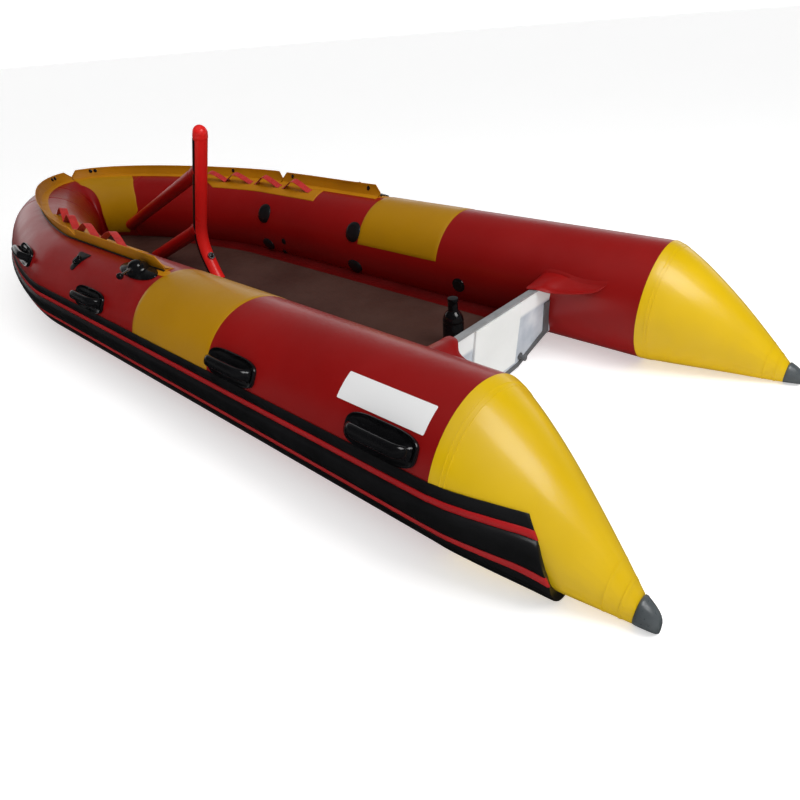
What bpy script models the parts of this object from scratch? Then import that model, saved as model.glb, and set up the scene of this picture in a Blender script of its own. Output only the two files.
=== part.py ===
"""Inflatable inshore rescue boat: a U of red and yellow air tubes with a rub strake, a flat deck over a
shallow vee bottom, a transom for a short-shaft outboard, a stand-up spray flap round the bow, grab handles,
and a red inflatable frame on the centreline. Metres, +Y towards the bow, +X to starboard, +Z up.
The hull is laid out by stations: the distance along a side tube's centreline from its stern seam.
"""

import math

import bmesh
import bpy
from mathutils import Matrix, Vector

# Clearance between pieces that touch
GAP = 0.0003
FABRIC_GAP = 0.0006

# Main tubes
TUBE_R = 0.240
HALF_SPACING = 0.634
STRAIGHT_END = 2.419
BOW_CENTRE = 3.909
BOW_EASE_AFT = 0.256
BOW_EASE_ACROSS = 0.373
BOW_PIVOT_BACK = 0.285
TUBE_SIDES = 32
TURN_STEP = 7.5
BAND_AFT = 0.978
BAND_FORE = 1.500
SHOULDER_SEAM = 3.600
NOSE_SEAM = 3.930

# Stern cones and their caps. The cap's profile is a share of its length and a radius
CONE_LENGTH = 0.552
CAP_LENGTH = 0.056
CAP_R = 0.038
CAP_PROFILE = ((0, CAP_R), (0.30, 0.035), (0.70, 0.0275), (0.92, 0.0205), (1.0, 0.013))
CAP_DROOP = 0.004
CONE_FLARE = 0.059
CONE_TIP_LIFT = 0.002
CONE_POWER = 1.24
CONE_RINGS = 8

# Rub strake: angles are round the tube, 0 outboard and 90 up
STRAKE_PROFILE = [(16, 0.0035), (8, 0.0060), (3.5, 0.0080), (0, 0.0190), (-6, 0.0226), (-11.25, 0.0226),
                  (-13, 0.0212), (-17.5, 0.0212), (-19, 0.0236), (-25, 0.0248), (-36, 0.0226), (-43, 0.0035)]
STRAKE_ROOT = (-43, -33.75, -22.5, -11.25, 0, 11.25, 16)
STRIPE_UPPER = (8.0, 3.5)
STRIPE_LOWER = (-13.0, -17.5)
STRIPE_PROUD = 0.0016
# Its slanted aft end, as shares of its section from the top and stations
STRAKE_END = ((0, -0.235), (0.3, -0.287), (0.6, -0.322), (1, -0.330))
STRAKE_RING_STEP = 0.0015
# Along the cone: distances aft of the seam and the angle of the strake's top edge. It stands a little further off
STRAKE_CLIMB = ((0, 16.0), (0.060, 19.7), (0.115, 25.0), (0.170, 32.0), (0.205, 37.5), (0.235, 43.0), (0.345, 62.0))
STRAKE_CONE_LIFT = 0.0040

# Deck, its side flaps and the bottom. The flap's section is distances inboard of the tube's middle and heights
DECK_TOP = 0.110
DECK_THICK = 0.020
DECK_AFT = 0.4265
DECK_FLAP_AFT = 0.4305
DECK_FLAP_END = 3.150
DECK_FLAP_SECTION = ((0.2130, 0.1275), (0.2840, DECK_TOP + GAP), (0.2840, DECK_TOP + 0.0034), (0.2180, 0.1330))
BOTTOM_FORE = 3.380
BOTTOM_STEPS = 6
KEEL_Z = 0.004
KEEL_BOW_RISE = 0.062
CHINE_ANGLE = 225.0
VEE_KNEE = (0.42, 0.11)

# Transom
TRANSOM_AFT = 0.362
TRANSOM_THICK = 0.021
TRANSOM_TOP = 0.333
TRANSOM_RAKE = 0.078
TRANSOM_HALF = 0.405
TRANSOM_CORNER_Z = 0.084
TRANSOM_VEE = ((0.190, 0.013), (0.0, 0.004))
CHANNEL_WALL = 0.003
CHANNEL_DEPTH = 0.006
PAD_HALF = 0.152
PAD_THICK = 0.008
OUTER_PAD_BOTTOM = 0.055
INNER_PAD_BOTTOM = DECK_TOP + 0.012
EDGING_THICK = 0.005
EDGING_OUTER = ((0.3930, 0.246), (0.3925, 0.240), (0.398, 0.190), (0.410, 0.140), (0.420, 0.092), (0.190, 0.015),
                (0.0, 0.006))
EDGING_INNER = ((0.350, 0.246), (0.374, 0.108), (0.190, 0.036), (0.0, 0.027))
DRAIN_X = 0.200
DRAIN_Z = 0.062
DRAIN_PROFILE = ((0, 0.016), (0.004, 0.016), (0.005, 0.010), (0.018, 0.010), (0.020, 0.013), (0.030, 0.012))

# Transom gussets, from the bow end aft: the glued line as stations and angles, the free edge, and the sag between
GUSSET_GLUE = ((0.425, 157.0), (0.400, 153.0), (0.345, 152.5), (0.290, 154.5), (0.235, 155.5), (0.185, 155.0),
               (0.140, 152.5))
GUSSET_EDGE = ((0.258, 0.400, 0.3385), (0.250, 0.392, 0.3378), (0.262, 0.3555, 0.3378), (0.303, 0.316, 0.318),
               (0.343, 0.232, 0.318), (0.383, 0.168, 0.327), (0.414, 0.143, 0.346))
GUSSET_SAG = (0.0, 0.0, 0.0, 0.006, 0.008, 0.006, 0.001)
GUSSET_THICK = 0.003

# Spray flap
FLAP_START = 1.540
FLAP_NOTCH = 2.362
FLAP_NOTCH_HALF = 0.037
FLAP_NOTCH_HEIGHT = 0.022
FLAP_HEIGHT = 0.058
FLAP_LEAN = 0.25
FLAP_THICK = 0.005
HEM_IN = 0.030
HEM_OUT = 0.012
HEM_THICK = 0.003
HEM_SEAT = 0.0005
FLAP_ROOT = 0.0045

# Grab handles: stations of their middles, and their shape
HANDLES = ((0.172, 28.0), (0.838, 28.0), (1.882, 28.0), (2.700, 37.0))
HANDLE_HALF_ANGLE = 10.5
HANDLE_HALF_LENGTH = 0.126
HANDLE_BASE_THICK = 0.007
GRIP_HALF_LENGTH = 0.092
GRIP_HEIGHT = 0.040
GRIP_R = 0.017
GRIP_BEND = 0.024
GRIP_ROOT = 0.003

# Fittings
OARLOCK_STATION = 1.668
OARLOCK_ANGLES = (65.0, 86.0)
OARLOCK_HALF = 0.135
OARLOCK_THICK = 0.006
OARLOCK_BOSS = ((0, 0.034), (0.014, 0.033), (0.026, 0.026), (0.036, 0.022), (0.042, 0.016))
OARLOCK_PIN = ((0, 0.0055), (0.090, 0.0055), (0.0901, 0.010), (0.094, 0.013), (0.106, 0.013), (0.112, 0.009))
OARLOCK_PIN_PORT = Vector((-1.0, -0.45, -0.10))
OARLOCK_PIN_STARBOARD = Vector((0.25, 1.0, 0.42))
OARLOCK_PIN_LIFT = 0.16
OARLOCK_PIN_ROOT = 0.022
OARLOCK_HOLE_DEPTH = 0.060
DRING_STATION = 2.135
DRING_ANGLES = (48.0, 73.0)
DRING_THICK = 0.004
DRING_POINT_HALF = 0.018
DRING_HEAD_HALF = 0.060
DRING_R = 0.021
DRING_BAR_R = 0.0035
DRING_BAR_LIFT = 0.0015
INNER_PADS = ((1.553, 140.0, 165.0), (1.553, 187.0, 203.0), (2.312, 140.0, 165.0), (2.305, 187.0, 203.0))
INNER_PAD_HALF = 0.048
INNER_PAD_THICK = 0.013
INNER_PAD_ROOT = -0.006
VALVE_STATION = 0.840
VALVE_ANGLE = 187.0
VALVE_PROFILE = ((0, 0.034), (0.004, 0.034), (0.008, 0.027), (0.010, 0.016))
PATCH_FORE = 3.060
PATCH_FORE_SLANT = 0.180
PATCH_AFT = 1.940
PATCH_AFT_SLANT = 0.010
PATCH_ANGLES = (98.0, 122.0)
LOOP_STATIONS = (2.150, 2.425, 2.700, 2.915)
LOOP_ANGLE = 105.0
LOOP_HALF = 0.105
LOOP_RISE = 0.052
LOOP_ROOT = 0.0026
WEBBING_WIDTH = 0.038
WEBBING_THICK = 0.0026
PATCH_THICK = 0.0034
PAD_TIP = 0.97
PAD_NUDGE = 0.001

# Hand pump on the deck
PUMP_PLACE = (0.0615, 0.620)
PUMP_PROFILE = ((0, 0.043), (0.006, 0.044), (0.112, 0.044), (0.140, 0.034), (0.154, 0.021), (0.196, 0.0205),
                (0.200, 0.0225), (0.208, 0.021))

# Inflatable frame on the centreline. The post leans forward from the deck to its knee, and aft above it
FRAME_X = -0.030
POST_R = 0.036
POST_KNEE = (2.318, 0.312)
POST_BEND_R = 0.243
POST_LEAN = math.radians(24.2)
POST_TOP = 0.880
FRAME_VALVE_TURN = math.radians(-22)
FRAME_VALVE = ((0, 0.0205), (0.007, 0.0205), (0.010, 0.016), (0.011, 0.009))
FRAME_VALVE_SEAT = 0.003
BRACE_BEYOND = 0.090
UPPER_BRACE_R = 0.033
UPPER_BRACE_Z = 0.700
UPPER_BRACE_FOOT = (0.121, 3.467, 0.202)
LOWER_BRACE_R = 0.036
LOWER_BRACE_Z = 0.381
LOWER_BRACE_FOOT = (FRAME_X, 2.870, 0.128)
BOW_CUTTER_REACH = 0.6
DECK_CUTTER = ((-0.3, 2.0), (0.3, 2.0), (0.3, 3.3), (-0.3, 3.3))
DECK_CUTTER_DEPTH = 0.3

STRAKE_REACH = max((TUBE_R + lift) * math.cos(math.radians(angle)) for angle, lift in STRAKE_PROFILE)
MIDDLE = (BOW_CENTRE + STRAKE_REACH - CONE_LENGTH) / 2
# Stations nearer than this to a turn ring count as the same
SNAP = 1e-4
UP = Vector((0, 0, 1))
TRANSOM_OUT = Vector((0, -1, -TRANSOM_RAKE)).normalized()

COLOURS = {
    "red_fabric": ((0.42, 0.012, 0.012), 0.32, 0.0),
    "bright_red_fabric": ((0.62, 0.02, 0.025), 0.30, 0.0),
    "yellow_fabric": ((0.80, 0.52, 0.01), 0.34, 0.0),
    "flap_yellow": ((0.76, 0.42, 0.01), 0.45, 0.0),
    "red_webbing": ((0.70, 0.03, 0.02), 0.75, 0.0),
    "black_rubber": ((0.012, 0.012, 0.013), 0.45, 0.0),
    "red_rubber": ((0.50, 0.012, 0.015), 0.45, 0.0),
    "black_plastic": ((0.015, 0.015, 0.016), 0.35, 0.0),
    "deck_brown": ((0.085, 0.048, 0.035), 0.60, 0.0),
    "board_grey": ((0.52, 0.54, 0.56), 0.45, 0.0),
    "pad_white": ((0.72, 0.74, 0.75), 0.40, 0.0),
    "channel_grey": ((0.30, 0.31, 0.32), 0.35, 0.6),
    "steel": ((0.62, 0.62, 0.64), 0.22, 1.0),
}


def clear_scene():
    for obj in list(bpy.data.objects):
        bpy.data.objects.remove(obj)


def material(slot):
    found = bpy.data.materials.get(slot)
    if found:
        return found
    colour, roughness, metallic = COLOURS[slot]
    made = bpy.data.materials.new(slot)
    made.use_nodes = True
    shader = made.node_tree.nodes["Principled BSDF"]
    shader.inputs["Base Color"].default_value = (*colour, 1)
    shader.inputs["Roughness"].default_value = roughness
    shader.inputs["Metallic"].default_value = metallic
    return made


# The side tube's centreline in plan


def bow_curve(t):
    """A point of the curved stretch of the starboard centreline, from the straight at 0 to the bow at 1."""
    u = 1 - t
    x = HALF_SPACING * (u**3 + 3 * u * u * t) + 3 * u * t * t * BOW_EASE_ACROSS
    y = STRAIGHT_END * u**3 + 3 * u * u * t * (STRAIGHT_END + BOW_EASE_AFT) + (3 * u * t * t + t**3) * BOW_CENTRE
    return x, y


def measure_bow(samples=900):
    """The curved stretch as rows of station, x, y and unit tangent."""
    points = [bow_curve(i / samples) for i in range(samples + 1)]
    rows, station = [], STRAIGHT_END
    for i, (x, y) in enumerate(points):
        if i:
            station += math.dist(points[i - 1], (x, y))
        ahead, behind = points[min(i + 1, samples)], points[max(i - 1, 0)]
        tangent = Vector((ahead[0] - behind[0], ahead[1] - behind[1])).normalized()
        rows.append((station, x, y, tangent))
    rows[-1] = (station, 0.0, BOW_CENTRE, Vector((-1.0, 0.0)))
    return rows


BOW_ROWS = measure_bow()
HALF_LENGTH = BOW_ROWS[-1][0]


def ring_at(row):
    """Centre, outward direction in plan and its stretch. Near the bow the rings turn about one pivot."""
    station, x, y, tangent = row
    normal = Vector((tangent.y, -tangent.x))
    pivot_y = BOW_CENTRE - BOW_PIVOT_BACK
    crossing = y - x * normal.y / normal.x if normal.x > 1e-6 else BOW_CENTRE
    out = normal
    if crossing > pivot_y:
        out = Vector((x, y - pivot_y)).normalized()
    return Vector((x, y, 0)), Vector((out.x, out.y, 0)), 1 / max(out.dot(normal), 0.5)


def turn_rings():
    """Rings of the starboard half: the two ends of the straight, then one for each step of turn."""
    first = (0.0, HALF_SPACING, 0.0, Vector((0.0, 1.0)))
    rings = [(0.0, *ring_at(first))]
    step = math.radians(TURN_STEP)
    wanted = step
    rings.append((STRAIGHT_END, *ring_at(BOW_ROWS[0])))
    for row in BOW_ROWS:
        centre, out, stretch = ring_at(row)
        turned = math.atan2(out.y, out.x)
        if turned >= wanted and row is not BOW_ROWS[-1]:
            rings.append((row[0], centre, out, stretch))
            wanted += step
            if wanted > math.pi / 2 - step / 3:
                wanted = math.pi
    rings.append((HALF_LENGTH, *ring_at(BOW_ROWS[-1])))
    return rings


RINGS = turn_rings()
TURN_STATIONS = [ring[0] for ring in RINGS[1:]]


def cone_ring(aft):
    """Centre and radius of the stern cone at a distance aft of its seam."""
    t = min(aft / (CONE_LENGTH - CAP_LENGTH), 1.0)
    radius = TUBE_R - (TUBE_R - CAP_R) * t**CONE_POWER
    return Vector((HALF_SPACING + CONE_FLARE * aft / CONE_LENGTH, -aft, 0)), radius


CONE_STATIONS = [-GAP / 2 - (CONE_LENGTH - CAP_LENGTH) * i / CONE_RINGS for i in range(CONE_RINGS)]
CONE_STATIONS.append(-(CONE_LENGTH - CAP_LENGTH))
STRAKE_AFT = [-CONE_LENGTH] + [s for s in CONE_STATIONS[::-1] if s > STRAKE_END[-1][1]]


def hull_ring(station):
    """Centre in plan, stretched outward direction, radius and height of the ring at a starboard station."""
    if station < 0:
        centre, radius = cone_ring(-station)
        return centre, Vector((1, 0, 0)), radius, radius + CONE_TIP_LIFT * -station / CONE_LENGTH
    for low, high in zip(RINGS, RINGS[1:]):
        if station <= high[0] + 1e-9:
            share = (station - low[0]) / (high[0] - low[0])
            centre = low[1].lerp(high[1], share)
            out = (low[2] * low[3]).lerp(high[2] * high[3], share)
            return centre, out, TUBE_R, TUBE_R
    return RINGS[-1][1], RINGS[-1][2], TUBE_R, TUBE_R


def hull_point(side, station, angle, lift=0.0):
    """A point at an angle round the tube, lifted off its skin. Side is 1 to starboard and -1 to port."""
    centre, out, radius, height = hull_ring(station)
    turn = math.radians(angle)
    point = centre + out * (radius + lift) * math.cos(turn) + UP * (height + (radius + lift) * math.sin(turn))
    return Vector((side * point.x, point.y, point.z))


def across_point(side, station, outboard, height):
    """A point at a plan distance outboard of the tube's centreline, at a height above the floor."""
    centre, out, _, _ = hull_ring(station)
    point = centre + out * outboard
    return Vector((side * point.x, point.y, height))


def whole(around):
    """Side and station of a distance round the whole hull, from the port stern seam by way of the bow."""
    if around <= HALF_LENGTH:
        return -1, around
    return 1, 2 * HALF_LENGTH - around


def stations_between(first, last):
    """Two stations and the turn rings between them."""
    inner = [s for s in TURN_STATIONS if first + SNAP < s < last - SNAP]
    return [first] + inner + [last]


def whole_between(first, last):
    """The same, in distances round the whole hull."""
    turns = TURN_STATIONS + [2 * HALF_LENGTH - s for s in TURN_STATIONS[:-1]]
    inner = [s for s in sorted(turns) if first + SNAP < s < last - SNAP]
    return [first] + inner + [last]


def angles_between(first, last):
    """Two angles and the tube's own corners between them, so that a piece on the tube follows its facets."""
    step = 360 / TUBE_SIDES
    low, high = min(first, last), max(first, last)
    inner = [i * step for i in range(-TUBE_SIDES, 2 * TUBE_SIDES) if low + 0.5 < i * step < high - 0.5]
    found = [low] + inner + [high]
    return found if first <= last else found[::-1]


# Making solids


def add_rings(bm, rings, closed=False):
    """A closed solid through rings of points, capped at its ends unless the rings close on themselves."""
    loops = [[bm.verts.new(p) for p in ring] for ring in rings]
    count = len(loops[0])
    following = loops[1:] + ([loops[0]] if closed else [])
    for near, far in zip(loops, following):
        for i in range(count):
            j = (i + 1) % count
            bm.faces.new((near[i], near[j], far[j], far[i]))
    if not closed:
        bm.faces.new(loops[0])
        bm.faces.new(loops[-1][::-1])


def pad_columns(low, high, first, last):
    """The stations of one row of a pad, between the widest row's two ends: as many for every row."""
    turns = [s for s in TURN_STATIONS if low + SNAP < s < high - SNAP]
    count = len(turns)
    inner = [min(max(s, first + PAD_NUDGE * (i + 1)), last - PAD_NUDGE * (count - i)) for i, s in enumerate(turns)]
    return [first] + inner + [last]


def add_pad(bm, side, rows, low, high, slot_index=0):
    """A pad on the tube. Each row is an angle with its first and last station."""
    start = min(row[1] for row in rows)
    end = max(row[2] for row in rows)
    grid = [[(angle, s) for s in pad_columns(start, end, first, last)] for angle, first, last in rows]
    under = [[bm.verts.new(hull_point(side, s, a, low)) for a, s in row] for row in grid]
    over = [[bm.verts.new(hull_point(side, s, a, high)) for a, s in row] for row in grid]
    across, along = len(grid), len(grid[0])
    faces = []
    for i in range(across - 1):
        for j in range(along - 1):
            for skin in (under, over):
                faces.append(bm.faces.new((skin[i][j], skin[i + 1][j], skin[i + 1][j + 1], skin[i][j + 1])))
    edge = [(0, j) for j in range(along)] + [(i, along - 1) for i in range(1, across)]
    edge += [(across - 1, j) for j in range(along - 2, -1, -1)] + [(i, 0) for i in range(across - 2, 0, -1)]
    for (i, j), (k, m) in zip(edge, edge[1:] + edge[:1]):
        faces.append(bm.faces.new((under[i][j], under[k][m], over[k][m], over[i][j])))
    for face in faces:
        face.material_index = slot_index


def oval_rows(station, half_length, first_angle, last_angle, roundness=0.5, extra=2):
    """Rows of a pad with round ends, wide in the middle of its angles."""
    middle, half = (first_angle + last_angle) / 2, (last_angle - first_angle) / 2
    angles = set(angles_between(first_angle, last_angle) + [middle])
    for i in range(1, extra + 1):
        angles.add(middle + half * (1 - 0.5**(i + 1)))
        angles.add(middle - half * (1 - 0.5**(i + 1)))
    rows = []
    for angle in sorted(angles):
        share = min(abs(angle - middle) / half, PAD_TIP)
        reach = half_length * (1 - share**(1 / (1 - roundness)))**roundness
        rows.append((angle, station - reach, station + reach))
    return rows


def circle(centre, first, second, radius, sides):
    """A ring of points in the plane of two unit directions."""
    turns = [2 * math.pi * i / sides for i in range(sides)]
    return [centre + (first * math.cos(a) + second * math.sin(a)) * radius for a in turns]


def add_pipe(bm, path, radii, sides, closed=False):
    """A round bar along a path, with one radius for each of its points."""
    rings, across = [], None
    count = len(path)
    for i, point in enumerate(path):
        ahead = path[(i + 1) % count] if closed or i + 1 < count else path[i]
        behind = path[i - 1] if closed or i else path[i]
        along = (ahead - behind).normalized()
        if across is None:
            across = along.orthogonal().normalized()
        across = (across - along * across.dot(along)).normalized()
        rings.append(circle(point, across, along.cross(across), radii[i], sides))
    add_rings(bm, rings, closed)


def add_turned(bm, base, axis, profile, sides):
    """A turned solid: pairs of height along the axis and radius, from the base up."""
    first = axis.orthogonal().normalized()
    second = axis.cross(first)
    add_rings(bm, [circle(base + axis * height, first, second, radius, sides) for height, radius in profile])


def add_block(bm, corners_low, corners_high):
    """A solid between two like outlines."""
    add_rings(bm, [corners_low, corners_high])


def finish(name, bm, slot, sharp=35):
    """Turns a bmesh into a named object under the boat's own empty."""
    bmesh.ops.recalc_face_normals(bm, faces=bm.faces)
    mesh = bpy.data.meshes.new(name)
    bm.to_mesh(mesh)
    bm.free()
    mesh.materials.append(material(slot))
    mesh.shade_smooth()
    mesh.set_sharp_from_angle(angle=math.radians(sharp))
    obj = bpy.data.objects.new(name, mesh)
    bpy.context.scene.collection.objects.link(obj)
    obj.parent = bpy.data.objects["boat"]
    return obj


def add_boolean(target, other, operation):
    """Joins another solid to one, or cuts it away, with an exact Boolean, and hides the other."""
    step = target.modifiers.new(operation.lower() + "_" + other.name, "BOOLEAN")
    step.object = other
    step.operation = operation
    step.solver = "EXACT"
    step.material_mode = "TRANSFER"
    other.hide_render = True
    other.display_type = "WIRE"


SIDES = (("port", -1), ("starboard", 1))


# Air tubes


def tube_ring(side, station):
    step = 360 / TUBE_SIDES
    return [hull_point(side, station, i * step) for i in range(TUBE_SIDES)]


def make_tube(name, side, first, last, slot):
    bm = bmesh.new()
    add_rings(bm, [tube_ring(side, s) for s in stations_between(first + GAP / 2, last - GAP / 2)])
    return finish(name, bm, slot)


def make_tubes():
    for word, side in SIDES:
        make_tube("aft_tube_" + word, side, 0.0, BAND_AFT, "red_fabric")
        make_tube("band_tube_" + word, side, BAND_AFT, BAND_FORE, "yellow_fabric")
        forward = make_tube("forward_tube_" + word, side, BAND_FORE, SHOULDER_SEAM, "red_fabric")
        add_inner_pads(forward, word, side)
        make_tube("bow_shoulder_" + word, side, SHOULDER_SEAM, NOSE_SEAM, "red_fabric")
    bm = bmesh.new()
    ends = NOSE_SEAM + GAP / 2, 2 * HALF_LENGTH - NOSE_SEAM - GAP / 2
    add_rings(bm, [tube_ring(*whole(s)) for s in whole_between(*ends)])
    finish("bow_nose", bm, "red_fabric")


def add_inner_pads(tube, word, side):
    """Half-moon pads on the tube's inner face, in pairs, that a bench seat or lashings fasten to."""
    for number, (station, low, high) in enumerate(INNER_PADS, start=1):
        bm = bmesh.new()
        add_pad(bm, side, oval_rows(station, INNER_PAD_HALF, low, high), INNER_PAD_ROOT, INNER_PAD_THICK)
        pad = finish(f"inner_pad_{word}_{number}", bm, "black_rubber")
        add_boolean(tube, pad, "UNION")


def make_cones():
    for word, side in SIDES:
        bm = bmesh.new()
        add_rings(bm, [tube_ring(side, s) for s in CONE_STATIONS])
        finish("stern_cone_" + word, bm, "yellow_fabric")


def make_caps():
    """Moulded plugs on the cones' ends, tapered and rounded off."""
    length = CONE_LENGTH - CAP_LENGTH
    for word, side in SIDES:
        bm = bmesh.new()
        rings = []
        for share, radius in CAP_PROFILE:
            aft = length + GAP + (CAP_LENGTH - GAP) * share
            centre = Vector((side * (HALF_SPACING + CONE_FLARE * aft / CONE_LENGTH), -aft, 0))
            centre.z = radius + CONE_TIP_LIFT + CAP_DROOP * share
            rings.append(circle(centre, Vector((1, 0, 0)), UP, radius, 16))
        add_rings(bm, rings)
        finish("cone_cap_" + word, bm, "black_plastic")


# Rub strake


def between(pairs, value):
    """Reads a list of rising (value, result) pairs, joined by straight lines."""
    for (low, low_result), (high, high_result) in zip(pairs, pairs[1:]):
        if value <= high:
            share = (value - low) / (high - low)
            return low_result + (high_result - low_result) * share
    return pairs[-1][1]


def strake_station(place, angle):
    """A strake ring's station at an angle. The aft end is cut on a slant, and the next rings keep clear of it."""
    if place >= 0:
        return place
    share = (STRAKE_PROFILE[0][0] - angle) / (STRAKE_PROFILE[0][0] - STRAKE_PROFILE[-1][0])
    return max(place, between(STRAKE_END, share) + STRAKE_RING_STEP * STRAKE_AFT.index(place))


def strake_point(side, place, angle, lift):
    """A point of the strake, by its angle on the side tube. Along the cone the strake keeps its width and climbs."""
    station = strake_station(place, angle)
    if station < -GAP:
        below = (STRAKE_PROFILE[0][0] - angle) * TUBE_R / cone_ring(-station)[1]
        angle = between(STRAKE_CLIMB, -station) - below
        lift += STRAKE_CONE_LIFT
    return hull_point(side, station, angle, lift)


def strake_section(side, place):
    outer = [strake_point(side, place, a, lift) for a, lift in STRAKE_PROFILE]
    root = [strake_point(side, place, a, GAP) for a in STRAKE_ROOT]
    return outer + root


def stripe_section(side, place, span):
    """A stripe on the strake's face, a little proud of it."""
    top, bottom = span
    rising = STRAKE_PROFILE[::-1]
    return [strake_point(side, place, a, between(rising, a) + lift)
            for a, lift in ((top, STRIPE_PROUD), (bottom, STRIPE_PROUD), (bottom, GAP), (top, GAP))]


def make_strakes():
    """The strake in four lengths, and the two stripes that run round all of it."""
    lengths = (("side", STRAKE_AFT + stations_between(GAP / 2, STRAIGHT_END - GAP / 2)),
               ("bow", stations_between(STRAIGHT_END + GAP / 2, HALF_LENGTH - GAP / 2)))
    for word, side in SIDES:
        for part, stations in lengths:
            bm = bmesh.new()
            add_rings(bm, [strake_section(side, s) for s in stations])
            finish(f"rub_strake_{part}_{word}", bm, "black_rubber")
    for name, span in (("strake_stripe_upper", STRIPE_UPPER), ("strake_stripe_lower", STRIPE_LOWER)):
        bm = bmesh.new()
        around = whole_between(GAP / 2, 2 * HALF_LENGTH - GAP / 2)
        places = [(-1, s) for s in STRAKE_AFT] + [whole(s) for s in around] + [(1, s) for s in STRAKE_AFT[::-1]]
        add_rings(bm, [stripe_section(side, s, span) for side, s in places])
        finish(name, bm, "red_rubber")


# Deck and bottom


def inner_reach(height):
    """Plan distance from the tube's centreline to its skin at a height."""
    return math.sqrt(TUBE_R**2 - (TUBE_R - height)**2)


def make_deck():
    """A flat deck that fills the space between the tubes, ahead of the transom."""
    reach = -(inner_reach(DECK_TOP) + GAP)
    around = whole_between(DECK_AFT, 2 * HALF_LENGTH - DECK_AFT)
    outlines = []
    for height in (DECK_TOP - DECK_THICK, DECK_TOP):
        outlines.append([across_point(*whole(s), reach, height) for s in around])
    bm = bmesh.new()
    add_block(bm, *outlines)
    finish("deck", bm, "deck_brown")


def make_deck_flaps():
    """A red fabric flap glued to each tube that covers the edge of the deck."""
    for word, side in SIDES:
        bm = bmesh.new()
        stations = stations_between(DECK_FLAP_AFT, DECK_FLAP_END)
        add_rings(bm, [[across_point(side, s, -inboard, z) for inboard, z in DECK_FLAP_SECTION] for s in stations])
        finish("deck_flap_" + word, bm, "red_fabric")


def skin_width(y, angle):
    """Half the width between the tubes' skins at a distance along the boat and an angle round the tube."""
    low = hull_point(1, 0.0, angle, GAP)
    for station in TURN_STATIONS:
        high = hull_point(1, station, angle, GAP)
        if low.y <= y <= high.y:
            share = (y - low.y) / (high.y - low.y)
            return low.x + (high.x - low.x) * share
        low = high
    return 0.0


def bottom_section(y):
    """One section of the shallow vee bottom, from the deck's underside down to the keel."""
    share = max(0.0, (y - STRAIGHT_END) / (BOTTOM_FORE - STRAIGHT_END))
    keel = KEEL_Z + KEEL_BOW_RISE * share**2
    top_z = DECK_TOP - DECK_THICK - GAP
    top_angle = 180 + math.degrees(math.asin((TUBE_R - top_z) / TUBE_R))
    chine_z = hull_point(1, 1.0, CHINE_ANGLE, GAP).z
    top_x, chine_x = skin_width(y, top_angle), skin_width(y, CHINE_ANGLE)
    knee = chine_x * VEE_KNEE[0], keel + (chine_z - keel) * VEE_KNEE[1]
    half = [(top_x, top_z), (chine_x, chine_z), knee]
    outline = half + [(0.0, keel)] + [(-x, z) for x, z in half[::-1]]
    return [Vector((x, y, z)) for x, z in outline]


def make_bottom():
    fore = BOTTOM_FORE - STRAIGHT_END
    marks = [DECK_AFT] + [STRAIGHT_END + fore * i / BOTTOM_STEPS for i in range(BOTTOM_STEPS + 1)]
    bm = bmesh.new()
    add_rings(bm, [bottom_section(y) for y in marks])
    finish("hull_bottom", bm, "red_fabric")


# Transom


def raked(x, z, ahead):
    """A point on the raked transom, some distance ahead of its aft face."""
    return Vector((x, TRANSOM_AFT + (TRANSOM_TOP - z) * TRANSOM_RAKE + ahead, z))


def mirrored(half):
    """A closed outline from its starboard half, which ends on the centreline."""
    return list(half) + [(-x, z) for x, z in half[-2::-1]]


def transom_outline():
    """The board's edge: level on top, hollow where the tubes are, and a shallow vee below."""
    side = [(HALF_SPACING - inner_reach(TRANSOM_TOP) - GAP, TRANSOM_TOP)]
    for angle in (168.75, 180.0, 191.25, 202.5, 213.75):
        point = hull_point(1, TRANSOM_AFT, angle, GAP)
        side.append((point.x, point.z))
    side.append((side[-1][0] + 0.006, TRANSOM_CORNER_Z))
    return mirrored(side + list(TRANSOM_VEE))


def make_transom_board():
    bm = bmesh.new()
    outline = transom_outline()
    add_block(bm, [raked(x, z, 0) for x, z in outline], [raked(x, z, TRANSOM_THICK) for x, z in outline])
    finish("transom_board", bm, "board_grey")


def add_raked_bar(bm, half, section):
    """A bar across the transom with a section given as pairs of distance ahead and height."""
    add_rings(bm, [[raked(x, z, ahead) for ahead, z in section] for x in (-half, half)])


def make_transom_channel():
    """A grey channel over the top edge of the board."""
    wall, low = CHANNEL_WALL, TRANSOM_TOP - CHANNEL_DEPTH
    inner_aft, inner_fore = -GAP, TRANSOM_THICK + GAP
    under, over = TRANSOM_TOP + GAP, TRANSOM_TOP + GAP + wall
    section = ((inner_aft - wall, low), (inner_aft - wall, over), (inner_fore + wall, over),
               (inner_fore + wall, low), (inner_fore, low), (inner_fore, under), (inner_aft, under),
               (inner_aft, low))
    bm = bmesh.new()
    add_raked_bar(bm, TRANSOM_HALF, section)
    finish("transom_channel", bm, "channel_grey")


def make_motor_pads():
    """The plates that an outboard motor clamps on to, one on each face of the board."""
    top = TRANSOM_TOP - CHANNEL_DEPTH - GAP
    for name, near, bottom in (("motor_pad_outer", -GAP - PAD_THICK, OUTER_PAD_BOTTOM),
                               ("motor_pad_inner", TRANSOM_THICK + GAP, INNER_PAD_BOTTOM)):
        far = near + PAD_THICK
        bm = bmesh.new()
        add_raked_bar(bm, PAD_HALF, ((near, bottom), (near, top), (far, top), (far, bottom)))
        finish(name, bm, "pad_white")


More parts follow.
